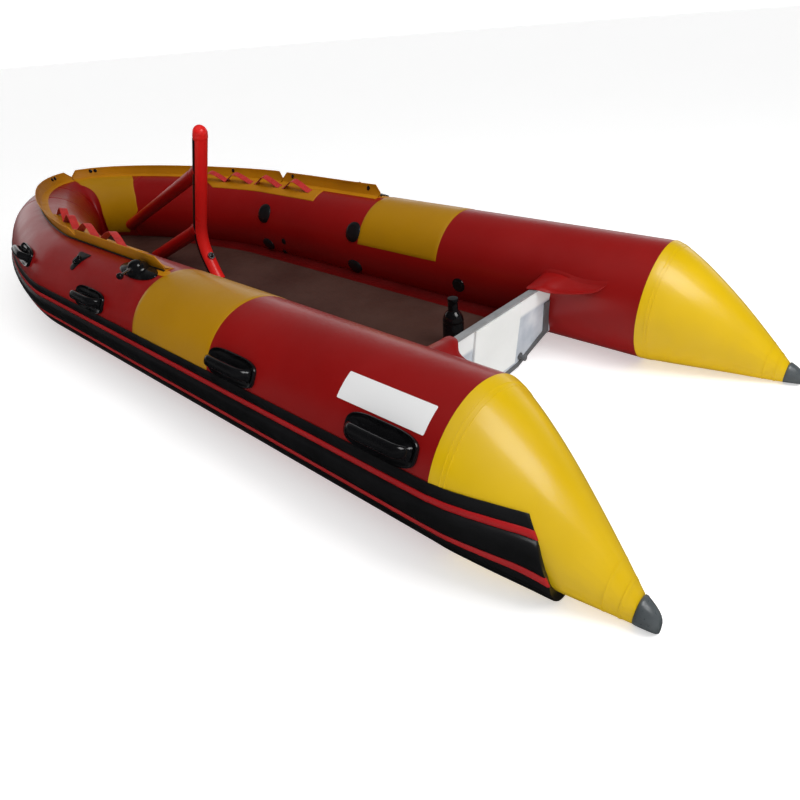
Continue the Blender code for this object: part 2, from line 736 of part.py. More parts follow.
def make_transom_edging():
    """A dark strip down the board's ends and along its lower edge, on the aft face."""
    outer = mirrored(EDGING_OUTER)
    inner = mirrored(EDGING_INNER)
    outline = outer + inner[::-1]
    bm = bmesh.new()
    near, far = -GAP - EDGING_THICK, -GAP
    add_block(bm, [raked(x, z, near) for x, z in outline], [raked(x, z, far) for x, z in outline])
    finish("transom_edging", bm, "channel_grey")


def make_drain():
    """A drain fitting low on the aft face: a flange, a stub and its plug, turned in one."""
    bm = bmesh.new()
    add_turned(bm, raked(DRAIN_X, DRAIN_Z, -GAP), TRANSOM_OUT, DRAIN_PROFILE, 12)
    finish("drain_fitting", bm, "channel_grey")


def make_gussets():
    """Red fabric gussets: each hangs from a glued line on its tube and drapes over the board's upper corner."""
    for word, side in SIDES:
        rings = []
        for (station, angle), (x, y, z), sag in zip(GUSSET_GLUE, GUSSET_EDGE, GUSSET_SAG):
            glued = hull_point(side, station, angle, FABRIC_GAP)
            free = Vector((side * x, y, z))
            under = [glued, glued.lerp(free, 0.5) - UP * sag, free]
            rings.append(under + [p + UP * GUSSET_THICK for p in under[::-1]])
        bm = bmesh.new()
        add_rings(bm, rings)
        bmesh.ops.triangulate(bm, faces=bm.faces)
        finish("transom_gusset_" + word, bm, "red_fabric")


# Spray flap


def flap_section(side, station, height=FLAP_HEIGHT):
    top = 2 * TUBE_R
    lean = height * FLAP_LEAN
    near, far = FLAP_ROOT, FLAP_ROOT + FLAP_THICK
    low, high = top + HEM_SEAT, top + GAP + HEM_THICK
    outline = ((-HEM_IN, low), (HEM_OUT, low), (HEM_OUT, high), (far, high), (far + lean, top + height),
               (near + lean, top + height), (near, high), (-HEM_IN, high))
    return [across_point(side, station, out, z) for out, z in outline]


def flap_panel(bm, side, first, last):
    """One panel between two stations, cut back at its top corners so that two panels leave a notch."""
    cut = FLAP_NOTCH_HALF
    inner = [s for s in stations_between(first, last) if first + 1.3 * cut < s < last - 1.3 * cut]
    stations = [first, first + cut] + inner + [last - cut, last]
    heights = [FLAP_NOTCH_HEIGHT] + [FLAP_HEIGHT] * (len(stations) - 2) + [FLAP_NOTCH_HEIGHT]
    add_rings(bm, [flap_section(side, s, height) for s, height in zip(stations, heights)])


def make_flaps():
    """The flap is four panels: one along each side, and two that meet at the bow."""
    for word, side in SIDES:
        bm = bmesh.new()
        flap_panel(bm, side, FLAP_START, FLAP_NOTCH - GAP / 2)
        finish("spray_flap_side_" + word, bm, "flap_yellow")
        bm = bmesh.new()
        flap_panel(bm, side, FLAP_NOTCH + GAP / 2, HALF_LENGTH - GAP / 2)
        finish("spray_flap_bow_" + word, bm, "flap_yellow")


# Pads and fittings on the tubes


def make_strap_patches():
    """A patch inside each bow flap, with the webbing loops sewn to it."""
    low, high = PATCH_ANGLES
    for word, side in SIDES:
        rows = []
        for angle in angles_between(low, high):
            share = (angle - low) / (high - low)
            aft = PATCH_AFT + PATCH_AFT_SLANT * (1 - share)
            fore = PATCH_FORE - PATCH_FORE_SLANT * share
            rows.append((angle, aft, fore))
        bm = bmesh.new()
        add_pad(bm, side, rows, FABRIC_GAP, PATCH_THICK)
        patch = finish("strap_patch_" + word, bm, "flap_yellow")
        for number, station in enumerate(LOOP_STATIONS, start=1):
            loop = make_strap_loop(f"strap_loop_{word}_{number}", side, station)
            add_boolean(patch, loop, "UNION")


def loop_path(side, station):
    """The middle line of one webbing loop, an arch that stands off its patch."""
    steps = 8
    points = []
    for i in range(steps + 1):
        share = i / steps
        s = station - LOOP_HALF + 2 * LOOP_HALF * share
        lift = LOOP_ROOT + LOOP_RISE * math.sin(math.pi * share)
        points.append(hull_point(side, s, LOOP_ANGLE, lift))
    return points


def make_strap_loop(name, side, station):
    """A flat webbing strap along the loop's middle line."""
    bm = bmesh.new()
    path = loop_path(side, station)
    out = (hull_point(side, station, LOOP_ANGLE, 1) - hull_point(side, station, LOOP_ANGLE)).normalized()
    rings = []
    for i, point in enumerate(path):
        along = (path[min(i + 1, len(path) - 1)] - path[max(i - 1, 0)]).normalized()
        across = out.cross(along).normalized()
        normal = along.cross(across)
        rings.append([point + across * a * WEBBING_WIDTH / 2 + normal * b * WEBBING_THICK / 2
                      for a, b in ((-1, -1), (1, -1), (1, 1), (-1, 1))])
    add_rings(bm, rings)
    return finish(name, bm, "red_webbing")


def make_handles():
    """Moulded grab handles: a long oval base with a bar over it that leaves room for the fingers."""
    for word, side in SIDES:
        for number, (station, angle) in enumerate(HANDLES, start=1):
            lift = FABRIC_GAP
            bm = bmesh.new()
            low, high = angle - HANDLE_HALF_ANGLE, angle + HANDLE_HALF_ANGLE
            rows = oval_rows(station, HANDLE_HALF_LENGTH, low, high)
            add_pad(bm, side, rows, lift, lift + HANDLE_BASE_THICK)
            base = finish(f"handle_{word}_{number}", bm, "black_plastic")
            bm = bmesh.new()
            path = grip_path(side, station, angle, lift + HANDLE_BASE_THICK)
            add_pipe(bm, path, [GRIP_R] * len(path), 8)
            grip = finish(f"grip_{word}_{number}", bm, "black_plastic")
            add_boolean(base, grip, "UNION")


def grip_path(side, station, angle, seat):
    """The grip's middle line: up from the base, round a bend, along and down again."""
    half = [(GRIP_HALF_LENGTH, -GRIP_ROOT)]
    for i in range(5):
        turn = math.pi / 2 * i / 4
        along, up = GRIP_BEND * (1 - math.cos(turn)), GRIP_BEND * (1 - math.sin(turn))
        half.append((GRIP_HALF_LENGTH - along, GRIP_HEIGHT - up))
    line = [(-s, h) for s, h in half] + [(s, h) for s, h in half[::-1]]
    return [hull_point(side, station + s, angle, seat + h) for s, h in line]


def make_oarlocks():
    """A round-ended pad with a boss on each side tube, and the rowlock's steel pin with its knob."""
    middle = sum(OARLOCK_ANGLES) / 2
    for word, side in SIDES:
        bm = bmesh.new()
        add_pad(bm, side, oval_rows(OARLOCK_STATION, OARLOCK_HALF, *OARLOCK_ANGLES), FABRIC_GAP,
                FABRIC_GAP + OARLOCK_THICK)
        pad = finish("oarlock_pad_" + word, bm, "black_rubber")
        base = hull_point(side, OARLOCK_STATION, middle, FABRIC_GAP + 0.004)
        up = (base - hull_point(side, OARLOCK_STATION, middle, 0)).normalized()
        bm = bmesh.new()
        add_turned(bm, base, up, OARLOCK_BOSS, 14)
        add_boolean(pad, finish("oarlock_boss_" + word, bm, "black_rubber"), "UNION")
        along = OARLOCK_PIN_PORT if side < 0 else OARLOCK_PIN_STARBOARD
        along = (along - up * along.dot(up) + up * OARLOCK_PIN_LIFT).normalized()
        root = base + up * OARLOCK_PIN_ROOT
        bm = bmesh.new()
        add_turned(bm, root, along, OARLOCK_PIN, 12)
        finish("oarlock_pin_" + word, bm, "steel")
        bm = bmesh.new()
        hole = OARLOCK_PIN[0][1] + GAP
        add_turned(bm, root - along * GAP, along, ((0, hole), (OARLOCK_HOLE_DEPTH, hole)), 12)
        add_boolean(pad, finish("oarlock_hole_" + word, bm, "black_rubber"), "DIFFERENCE")


def make_drings():
    """Triangular pads, each with a steel ring held in it."""
    low, high = DRING_ANGLES
    for word, side in SIDES:
        rows = []
        for angle in angles_between(low, high):
            share = (angle - low) / (high - low)
            reach = DRING_POINT_HALF + (DRING_HEAD_HALF - DRING_POINT_HALF) * share
            rows.append((angle, DRING_STATION - reach, DRING_STATION + reach))
        bm = bmesh.new()
        add_pad(bm, side, rows, FABRIC_GAP, FABRIC_GAP + DRING_THICK)
        pad = finish("dring_pad_" + word, bm, "black_rubber")
        centre = hull_point(side, DRING_STATION, sum(DRING_ANGLES) / 2, FABRIC_GAP + DRING_THICK + DRING_BAR_LIFT)
        out = (centre - hull_point(side, DRING_STATION, sum(DRING_ANGLES) / 2)).normalized()
        along = Vector((0, 1, 0))
        across = out.cross(along).normalized()
        path = circle(centre, along, across, DRING_R, 14)
        bm = bmesh.new()
        add_pipe(bm, path, [DRING_BAR_R] * len(path), 6, closed=True)
        add_boolean(pad, finish("dring_" + word, bm, "steel"), "UNION")


def make_valves():
    """Round air valves on the tubes' inner faces."""
    for word, side in SIDES:
        bm = bmesh.new()
        base = hull_point(side, VALVE_STATION, VALVE_ANGLE, GAP)
        out = (base - hull_point(side, VALVE_STATION, VALVE_ANGLE, -0.01)).normalized()
        add_turned(bm, base, out, VALVE_PROFILE, 16)
        finish("air_valve_" + word, bm, "black_plastic")


def make_pump():
    """A small dark hand pump that stands on the deck just ahead of the transom."""
    bm = bmesh.new()
    add_turned(bm, Vector((*PUMP_PLACE, DECK_TOP + GAP)), UP, PUMP_PROFILE, 16)
    finish("hand_pump", bm, "black_plastic")


# The inflatable frame on the centreline


def knee_point(turn):
    """A point of the post's middle line on the bend at its knee. The turn is 0 where the post is upright."""
    y = POST_KNEE[0] - POST_BEND_R / math.cos(POST_LEAN)
    return Vector((FRAME_X, y + POST_BEND_R * math.cos(turn), POST_KNEE[1] + POST_BEND_R * math.sin(turn)))


def straight_point(height):
    """A point of the post's middle line on one of its two straights, at a height."""
    return Vector((FRAME_X, POST_KNEE[0] - abs(height - POST_KNEE[1]) * math.tan(POST_LEAN), height))


def post_path():
    """The post's middle line: from under the deck's face to the knee, round it, and up to the head."""
    steps = 6
    bend = [knee_point(-POST_LEAN + 2 * POST_LEAN * i / steps) for i in range(steps + 1)]
    return [straight_point(DECK_TOP - POST_R)] + bend + [straight_point(POST_TOP)]


def add_post(bm, radius):
    """The post, with a dome on its head."""
    path = post_path()
    up = (path[-1] - path[-2]).normalized()
    dome = (0.5, 1.0, 1.35)
    rounded = [path[-1] + up * radius * math.sin(a) for a in dome]
    add_pipe(bm, path + rounded, [radius] * len(path) + [radius * math.cos(a) for a in dome], 16)


def make_cutters():
    """The post, the bow tube and the deck, each a gap larger, for cutting what sits on them."""
    bm = bmesh.new()
    add_post(bm, POST_R + GAP)
    post = finish("post_cutter", bm, "bright_red_fabric")
    bm = bmesh.new()
    ends = NOSE_SEAM - BOW_CUTTER_REACH, 2 * HALF_LENGTH - NOSE_SEAM + BOW_CUTTER_REACH
    step = 360 / TUBE_SIDES
    around = whole_between(*ends)
    add_rings(bm, [[hull_point(*whole(s), i * step, GAP) for i in range(TUBE_SIDES)] for s in around])
    bow = finish("bow_cutter", bm, "bright_red_fabric")
    bm = bmesh.new()
    low, high = DECK_TOP - DECK_CUTTER_DEPTH, DECK_TOP + GAP
    add_block(bm, [Vector((x, y, low)) for x, y in DECK_CUTTER], [Vector((x, y, high)) for x, y in DECK_CUTTER])
    deck = finish("deck_cutter", bm, "bright_red_fabric")
    return post, bow, deck


def make_frame():
    """The post, the two braces that tie it to the bow and the deck, and its valve."""
    post_cutter, bow_cutter, deck_cutter = make_cutters()
    bm = bmesh.new()
    add_post(bm, POST_R)
    add_boolean(finish("frame_post", bm, "bright_red_fabric"), deck_cutter, "DIFFERENCE")
    make_brace("frame_brace_upper", UPPER_BRACE_Z, UPPER_BRACE_FOOT, UPPER_BRACE_R, (post_cutter, bow_cutter))
    make_brace("frame_brace_lower", LOWER_BRACE_Z, LOWER_BRACE_FOOT, LOWER_BRACE_R, (post_cutter, deck_cutter))
    make_frame_valve(post_cutter)


def make_brace(name, height, foot, radius, cutters):
    """A straight tube from the post forward and down, cut to sit on what it meets."""
    start, foot = straight_point(height), Vector(foot)
    end = foot + (foot - start).normalized() * BRACE_BEYOND
    bm = bmesh.new()
    add_pipe(bm, [start, end], [radius, radius], 14)
    brace = finish(name, bm, "bright_red_fabric")
    for cutter in cutters:
        add_boolean(brace, cutter, "DIFFERENCE")


def make_frame_valve(cutter):
    """The frame's air valve, low on the aft face of the post, in its bend."""
    turn = FRAME_VALVE_TURN
    out = Vector((0, -math.cos(turn), -math.sin(turn)))
    bm = bmesh.new()
    add_turned(bm, knee_point(turn) + out * (POST_R - FRAME_VALVE_SEAT), out, FRAME_VALVE, 14)
    valve = finish("frame_valve", bm, "steel")
    add_boolean(valve, cutter, "DIFFERENCE")


def main():
    clear_scene()
    boat = bpy.data.objects.new("boat", None)
    bpy.context.scene.collection.objects.link(boat)
    make_tubes()
    make_cones()
    make_caps()
    make_strakes()
    make_deck()
    make_deck_flaps()
    make_bottom()
    make_transom_board()
    make_transom_channel()
    make_motor_pads()
    make_transom_edging()
    make_drain()
    make_gussets()
    make_flaps()
    make_strap_patches()
    make_handles()
    make_oarlocks()
    make_drings()
    make_valves()
    make_pump()
    make_frame()
    boat.matrix_world = Matrix.Translation((0, -MIDDLE, 0))


main()
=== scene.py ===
"""Looks of the inflatable inshore rescue boat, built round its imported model.

The hull is laid out by stations, as in the part's source: metres along a side tube's centreline from its
stern seam. Angles round the tube run from 0 outboard by 90 on top to 180 inboard. Side is 1 to starboard
and -1 to port.
"""
import math

import bmesh
import bpy
import numpy as np
from mathutils import Matrix, Vector, noise


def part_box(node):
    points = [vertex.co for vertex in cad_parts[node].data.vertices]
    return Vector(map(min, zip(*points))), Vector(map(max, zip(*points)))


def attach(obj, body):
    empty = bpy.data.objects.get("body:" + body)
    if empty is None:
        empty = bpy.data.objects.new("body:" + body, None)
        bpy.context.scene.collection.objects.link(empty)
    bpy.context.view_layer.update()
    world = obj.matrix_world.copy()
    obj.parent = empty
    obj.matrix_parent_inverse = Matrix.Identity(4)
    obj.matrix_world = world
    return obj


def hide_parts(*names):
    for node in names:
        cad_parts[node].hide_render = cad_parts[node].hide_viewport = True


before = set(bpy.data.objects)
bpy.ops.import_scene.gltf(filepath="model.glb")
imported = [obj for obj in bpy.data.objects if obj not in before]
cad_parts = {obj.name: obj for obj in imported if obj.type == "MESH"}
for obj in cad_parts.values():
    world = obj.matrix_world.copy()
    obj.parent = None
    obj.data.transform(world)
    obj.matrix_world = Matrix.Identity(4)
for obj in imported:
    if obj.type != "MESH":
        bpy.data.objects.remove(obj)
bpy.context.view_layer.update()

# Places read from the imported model
AFT_LOW, AFT_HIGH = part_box("aft_tube_starboard")
TUBE_R = (AFT_HIGH.z - AFT_LOW.z) / 2
HALF_SPACING = (AFT_HIGH.x + AFT_LOW.x) / 2
STERN_Y = AFT_LOW.y
BOW_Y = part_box("bow_nose")[1].y - TUBE_R
DECK_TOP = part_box("deck")[1].z
DECK_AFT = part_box("deck")[0].y - STERN_Y
UP = Vector((0, 0, 1))

# The curved stretch of the tubes
STRAIGHT_END = 2.419
BOW_EASE_AFT = 0.256
BOW_EASE_ACROSS = 0.373
BOW_PIVOT_BACK = 0.285

# Stern cones and caps
CONE_LENGTH = 0.552
CAP_LENGTH = 0.056
CAP_R = 0.038
CONE_FLARE = 0.059
CONE_TIP_LIFT = 0.002
CONE_POWER = 1.24

SIDES = (("port", -1), ("starboard", 1))
ROUND = 96


# Hull geometry


def measure_bow(samples=1200):
    """Stations of the starboard centreline with its place in plan and its outward direction, stretched."""
    t = np.linspace(0, 1, samples + 1)
    u = 1 - t
    bow_centre = BOW_Y - STERN_Y
    x = HALF_SPACING * (u**3 + 3 * u * u * t) + 3 * u * t * t * BOW_EASE_ACROSS
    y = STRAIGHT_END * u**3 + 3 * u * u * t * (STRAIGHT_END + BOW_EASE_AFT)
    y += (3 * u * t * t + t**3) * bow_centre
    steps = np.hypot(np.diff(x), np.diff(y))
    station = STRAIGHT_END + np.concatenate([[0], np.cumsum(steps)])
    dx, dy = np.gradient(x), np.gradient(y)
    normal = np.stack([dy, -dx], 1) / np.hypot(dx, dy)[:, None]
    normal[-1] = (0, 1)
    pivot = np.array([0, bow_centre - BOW_PIVOT_BACK])
    crossing = y - x * normal[:, 1] / np.maximum(normal[:, 0], 1e-6)
    crossing[-1] = bow_centre
    away = np.stack([x, y], 1) - pivot
    away /= np.linalg.norm(away, axis=1)[:, None]
    out = np.where((crossing > pivot[1])[:, None], away, normal)
    stretch = 1 / np.maximum((out * normal).sum(1), 0.5)
    return station, x, y, out[:, 0] * stretch, out[:, 1] * stretch


BOW = measure_bow()
HALF_LENGTH = float(BOW[0][-1])


def cone_radius(aft):
    """Radius of the stern cone at a distance aft of its seam."""
    length = CONE_LENGTH - CAP_LENGTH
    return TUBE_R - (TUBE_R - CAP_R) * (min(aft, length) / length)**CONE_POWER


def hull_ring(station):
    """The starboard ring at a station: centre in plan, stretched outward direction, radius and height."""
    if station < 0:
        radius = cone_radius(-station)
        centre = Vector((HALF_SPACING - CONE_FLARE * station / CONE_LENGTH, STERN_Y + station, 0))
        return centre, Vector((1, 0, 0)), radius, radius - CONE_TIP_LIFT * station / CONE_LENGTH
    if station <= STRAIGHT_END:
        return Vector((HALF_SPACING, STERN_Y + station, 0)), Vector((1, 0, 0)), TUBE_R, TUBE_R
    x, y, out_x, out_y = (float(np.interp(station, BOW[0], column)) for column in BOW[1:])
    return Vector((x, STERN_Y + y, 0)), Vector((out_x, out_y, 0)), TUBE_R, TUBE_R


def hull_point(side, station, angle, lift=0.0):
    """A point at an angle round the tube, lifted off its skin. Past the bow it is on the other side."""
    if station > HALF_LENGTH:
        side, station = -side, 2 * HALF_LENGTH - station
    centre, out, radius, height = hull_ring(station)
    turn = math.radians(angle)
    point = centre + out * (radius + lift) * math.cos(turn) + UP * (height + (radius + lift) * math.sin(turn))
    return Vector((side * point.x, point.y, max(point.z, 0.0)))


def across_point(side, station, outboard, height):
    """A point at a plan distance outboard of the tube's centreline, at a height above the floor."""
    if station > HALF_LENGTH:
        side, station = -side, 2 * HALF_LENGTH - station
    centre, out, _, _ = hull_ring(station)
    point = centre + out * outboard
    return Vector((side * point.x, point.y, height))


def skin_height(outboard, lift=0.0):
    """Height of the upper skin at a plan distance from the tube's centreline."""
    return TUBE_R + math.sqrt(TUBE_R**2 - outboard**2) + lift


def outward(side, station, angle):
    """The direction off the skin at a point of the tube."""
    return (hull_point(side, station, angle, 0.1) - hull_point(side, station, angle)).normalized()


def spaced(first, last, step):
    """Values from first to last, evenly apart by about a step."""
    count = max(1, round(abs(last - first) / step))
    return [first + (last - first) * i / count for i in range(count + 1)]


def ease(share):
    """A smooth step from 0 to 1."""
    share = min(max(share, 0.0), 1.0)
    return share * share * (3 - 2 * share)


def through(points, value):
    """Reads a list of (value, result) pairs in order of value, joined by straight lines."""
    return float(np.interp(value, [p[0] for p in points], [p[1] for p in points]))


def both_sides(half):
    """The places of a line round the whole hull as (side, station), from the port stations up to the bow."""
    return [(-1, s) for s in half] + [(1, s) for s in half[-2::-1]]


def swell(point, size=0.0008, scale=2.3):
    """A small wandering lift, so that inflated fabric doesn't reflect like a machined tube."""
    return size * noise.noise(point * scale)


# Shapes


class Shape:
    """Points and faces gathered for one piece. UVs are in metres."""

    def __init__(self):
        self.points, self.faces, self.slots, self.uvs = [], [], [], []

    def add(self, points):
        """Takes in points and gives their numbers."""
        first = len(self.points)
        self.points.extend(points)
        return range(first, len(self.points))

    def face(self, corners, uvs, slot):
        """Takes in one face, with a UV for each corner."""
        self.faces.append(corners)
        self.uvs.extend(uvs)
        self.slots.append(slot)

    def grid(self, rows, wrap=False, loop=False, slot=0, turned=False):
        """A skin through rows of points. wrap closes each row and loop closes the rows."""
        ids = [self.add(row) for row in rows]
        middle_row, middle_column = rows[len(rows) // 2], [row[len(row) // 2] for row in rows]
        us = running(middle_row + [middle_row[0]])
        vs = running(middle_column + [middle_column[0]])
        count = len(rows[0])
        for i in range(len(rows) if loop else len(rows) - 1):
            near, far = ids[i], ids[(i + 1) % len(rows)]
            for j in range(count if wrap else count - 1):
                k = (j + 1) % count
                corners = (near[j], near[k], far[k], far[j])
                uvs = ((us[j], vs[i]), (us[j + 1], vs[i]), (us[j + 1], vs[i + 1]), (us[j], vs[i + 1]))
                self.face(corners[::-1] if turned else corners, uvs[::-1] if turned else uvs, slot)
        return ids

    def cap(self, ids, slot):
        """A face over a ring of points, as a fan round their middle."""
        middle = sum((self.points[i] for i in ids), Vector()) / len(ids)
        centre = self.add([middle])[0]
        for i, j in zip(ids, list(ids)[1:] + [ids[0]]):
            self.face((i, j, centre), ((0, 0), (0.01, 0), (0, 0.01)), slot)

    def tube(self, rings, slot=0):
        """A closed body through rings of points."""
        ids = self.grid(rings, wrap=True, slot=slot)
        self.cap(ids[0], slot)
        self.cap(ids[-1], slot)

    def shell(self, outer, inner):
        """A closed body between two like grids of points."""
        over = self.grid(outer)
        under = self.grid(inner, turned=True)
        height, width = len(outer), len(outer[0])
        rim = [(0, j) for j in range(width)] + [(i, width - 1) for i in range(1, height)]
        rim += [(height - 1, j) for j in range(width - 2, -1, -1)]
        rim += [(i, 0) for i in range(height - 2, 0, -1)]
        square = ((0, 0), (0.01, 0), (0.01, 0.01), (0, 0.01))
        for (a, b), (c, d) in zip(rim, rim[1:] + rim[:1]):
            self.face((under[a][b], under[c][d], over[c][d], over[a][b]), square, 0)

    def piece(self, name, looks, replaces=(), sharp=40):
        """Makes the object, which rides on the boat's one body."""
        mesh = bpy.data.meshes.new(name)
        mesh.from_pydata(self.points, [], self.faces)
        layer = mesh.uv_layers.new(name="UVMap")
        layer.data.foreach_set("uv", np.array(self.uvs, float).ravel())
        for used in looks if isinstance(looks, (list, tuple)) else [looks]:
            mesh.materials.append(used)
        mesh.polygons.foreach_set("material_index", self.slots)
        mesh.update()
        obj = bpy.data.objects.new(name, mesh)
        bpy.context.scene.collection.objects.link(obj)
        tidy_normals(mesh)
        mesh.shade_smooth()
        mesh.set_sharp_from_angle(angle=math.radians(sharp))
        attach(obj, "root")
        if replaces:
            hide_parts(*replaces)
        return obj


def tidy_normals(mesh):
    """Turns every face of the closed bodies outward."""
    bm = bmesh.new()
    bm.from_mesh(mesh)
    bmesh.ops.recalc_face_normals(bm, faces=bm.faces)
    bm.to_mesh(mesh)
    bm.free()


def running(points):
    """Distance along a line of points, at each of them."""
    found = [0.0]
    for a, b in zip(points, points[1:]):
        found.append(found[-1] + (b - a).length)
    return found


def circle(centre, first, second, radius, sides):
    """A ring of points in the plane of two unit directions."""
    turns = [2 * math.pi * i / sides for i in range(sides)]
    return [centre + first * math.cos(a) * radius + second * math.sin(a) * radius for a in turns]


def oval(half_length, half_width, power=2.0, sides=40):
    """An outline of (along, around) offsets. A higher power makes it squarer."""
    points = []
    for i in range(sides):
        turn = 2 * math.pi * i / sides
        c, s = math.cos(turn), math.sin(turn)
        points.append((math.copysign(abs(c)**(2 / power), c) * half_length,
                       math.copysign(abs(s)**(2 / power), s) * half_width))
    return points


def rounded(corners, radius, steps=5):
    """An outline round straight-sided corners given in order, with each corner rounded off."""
    points = []
    count = len(corners)
    for i in range(count):
        here = Vector(corners[i])
        back, ahead = Vector(corners[i - 1]) - here, Vector(corners[(i + 1) % count]) - here
        a, b = here + back.normalized() * radius, here + ahead.normalized() * radius
        for k in range(steps + 1):
            t = k / steps
            points.append(tuple(a * (1 - t)**2 + here * 2 * t * (1 - t) + b * t * t))
    return points


def pad(shape, side, station, angle, outline, profile):
    """A pad on the tube. A row of the profile is an inset in metres, a share of what is left, and a lift."""
    rings = []
    for inset, share, lift in profile:
        ring = []
        for along, around in outline:
            size = math.hypot(along, around)
            scale = max(size - inset, 0.0005) / size * share
            turn = angle + math.degrees(around * scale / TUBE_R)
            ring.append(hull_point(side, station + along * scale, turn, lift))
        rings.append(ring)
    shape.tube(rings)


def sweep(shape, path, out, section, closed=False):
    """A bar along a path. The section is (across, up) pairs, and out is roughly its upward direction."""
    rings = []
    count = len(path)
    for i, point in enumerate(path):
        ahead = path[(i + 1) % count] if closed or i + 1 < count else point
        behind = path[i - 1] if closed or i else point
        along = (ahead - behind).normalized()
        across = along.cross(out).normalized()
        up = across.cross(along)
        rings.append([point + across * a + up * b for a, b in section])
    if closed:
        shape.grid(rings, wrap=True, loop=True)
    else:
        shape.tube(rings)


def ring_section(radius, sides=12):
    """A round section for sweep."""
    turns = [2 * math.pi * i / sides for i in range(sides)]
    return [(math.cos(a) * radius, math.sin(a) * radius) for a in turns]


def turned(shape, base, axis, profile, sides=32, slot=0):
    """A turned body: pairs of height along the axis and radius, from the base up."""
    first = axis.orthogonal().normalized()
    second = axis.cross(first)
    shape.tube([circle(base + axis * h, first, second, radius, sides) for h, radius in profile], slot)


# Materials


def texture(nodes, links, kind, scale):
    """One texture's value. Weave and ribs follow the piece's own UVs, and the rest its place on the boat."""
    if kind in ("weave", "ribs"):
        place = nodes.new("ShaderNodeTexCoord").outputs["UV"]
        waves = []
        for direction in (("X", "Y") if kind == "weave" else ("X",)):
            wave = nodes.new("ShaderNodeTexWave")
            wave.bands_direction = direction
            wave.inputs["Scale"].default_value = scale
            wave.inputs["Distortion"].default_value = 0.4
            wave.inputs["Detail Scale"].default_value = 3.0
            links.new(place, wave.inputs["Vector"])
            waves.append(wave.outputs["Fac"])
        if kind == "ribs":
            return waves[0]
        both = nodes.new("ShaderNodeMath")
        both.operation = "MULTIPLY"
        links.new(waves[0], both.inputs[0])
        links.new(waves[1], both.inputs[1])
        return both.outputs[0]
    place = nodes.new("ShaderNodeTexCoord").outputs["Object"]
    if kind == "cells":
        cells = nodes.new("ShaderNodeTexVoronoi")
        cells.inputs["Scale"].default_value = scale
        links.new(place, cells.inputs["Vector"])
        return cells.outputs["Distance"]
    cloud = nodes.new("ShaderNodeTexNoise")
    cloud.inputs["Scale"].default_value = scale
    cloud.inputs["Detail"].default_value = 4.0
    cloud.inputs["Roughness"].default_value = 0.55
    links.new(place, cloud.inputs["Vector"])
    return cloud.outputs["Fac"]


def mapped(nodes, links, value, from_low, from_high, to_low, to_high):
    """A value carried from one range to another."""
    spread = nodes.new("ShaderNodeMapRange")
    names = ("From Min", "From Max", "To Min", "To Max")
    for name, number in zip(names, (from_low, from_high, to_low, to_high)):
        spread.inputs[name].default_value = number
    links.new(value, spread.inputs["Value"])
    return spread.outputs["Result"]


def look(name, colours, roughness, clouds, bumps, above=None, **sockets):
    """A procedural material. colours are mixed by a cloud of the scale clouds, roughness is its low and high
    value, and each bump is a texture's kind, scale and height in metres. above is a second colour and the
    heights over the floor between which it takes over."""
    made = bpy.data.materials.new(name)
    made.use_nodes = True
    nodes, links = made.node_tree.nodes, made.node_tree.links
    shader = nodes["Principled BSDF"]
    ramp = nodes.new("ShaderNodeValToRGB")
    ramp.color_ramp.elements[0].position = 0.30
    ramp.color_ramp.elements[1].position = 0.72
    ramp.color_ramp.elements[0].color = (*colours[0], 1)
    ramp.color_ramp.elements[1].color = (*colours[-1], 1)
    if len(colours) == 3:
        ramp.color_ramp.elements.new(0.5).color = (*colours[1], 1)
    links.new(texture(nodes, links, "cloud", clouds), ramp.inputs["Fac"])
    colour = ramp.outputs["Color"]
    if above:
        second, low, high = above
        parts = nodes.new("ShaderNodeSeparateXYZ")
        links.new(nodes.new("ShaderNodeTexCoord").outputs["Object"], parts.inputs["Vector"])
        mix = nodes.new("ShaderNodeMix")
        mix.data_type = "RGBA"
        mix.inputs["B"].default_value = (*second, 1)
        links.new(mapped(nodes, links, parts.outputs["Z"], low, high, 0.0, 1.0), mix.inputs["Factor"])
        links.new(colour, mix.inputs["A"])
        colour = mix.outputs["Result"]
    links.new(colour, shader.inputs["Base Color"])
    rough = mapped(nodes, links, texture(nodes, links, "cloud", clouds * 5), 0.3, 0.7, *roughness)
    links.new(rough, shader.inputs["Roughness"])
    previous = None
    for kind, scale, height in bumps:
        bump = nodes.new("ShaderNodeBump")
        bump.inputs["Strength"].default_value = 1.0
        bump.inputs["Distance"].default_value = height
        links.new(texture(nodes, links, kind, scale), bump.inputs["Height"])
        if previous:
            links.new(previous, bump.inputs["Normal"])
        previous = bump.outputs["Normal"]
    if previous:
        links.new(previous, shader.inputs["Normal"])
    for socket, value in sockets.items():
        shader.inputs[socket.replace("_", " ")].default_value = value
    return made


RED = look("red_coated_fabric", [(0.235, 0.0030, 0.0030), (0.270, 0.0040, 0.0038), (0.305, 0.0055, 0.0050)],
           (0.30, 0.40), 1.6, [("cloud", 9.0, 0.0012), ("weave", 262.0, 0.00005)],
           Specular_IOR_Level=0.35, Coat_Weight=0.25, Coat_Roughness=0.18)
# The post's red: a far lighter copy of the tube red. This is painted light that brightens the post's upright
# faces.
LIT_RED = look("lit_red_coated_fabric", [(0.82, 0.014, 0.012), (0.94, 0.022, 0.018)],
                  (0.26, 0.36), 2.2, [("cloud", 12.0, 0.0012), ("weave", 262.0, 0.00005)],
                  Specular_IOR_Level=0.35, Coat_Weight=0.25, Coat_Roughness=0.15)
BRACE_RED = look("deep_red_coated_fabric", [(0.37, 0.0045, 0.004), (0.45, 0.006, 0.006)],
                 (0.36, 0.46), 2.2, [("cloud", 12.0, 0.0012), ("weave", 262.0, 0.00005)],
                 Specular_IOR_Level=0.2)
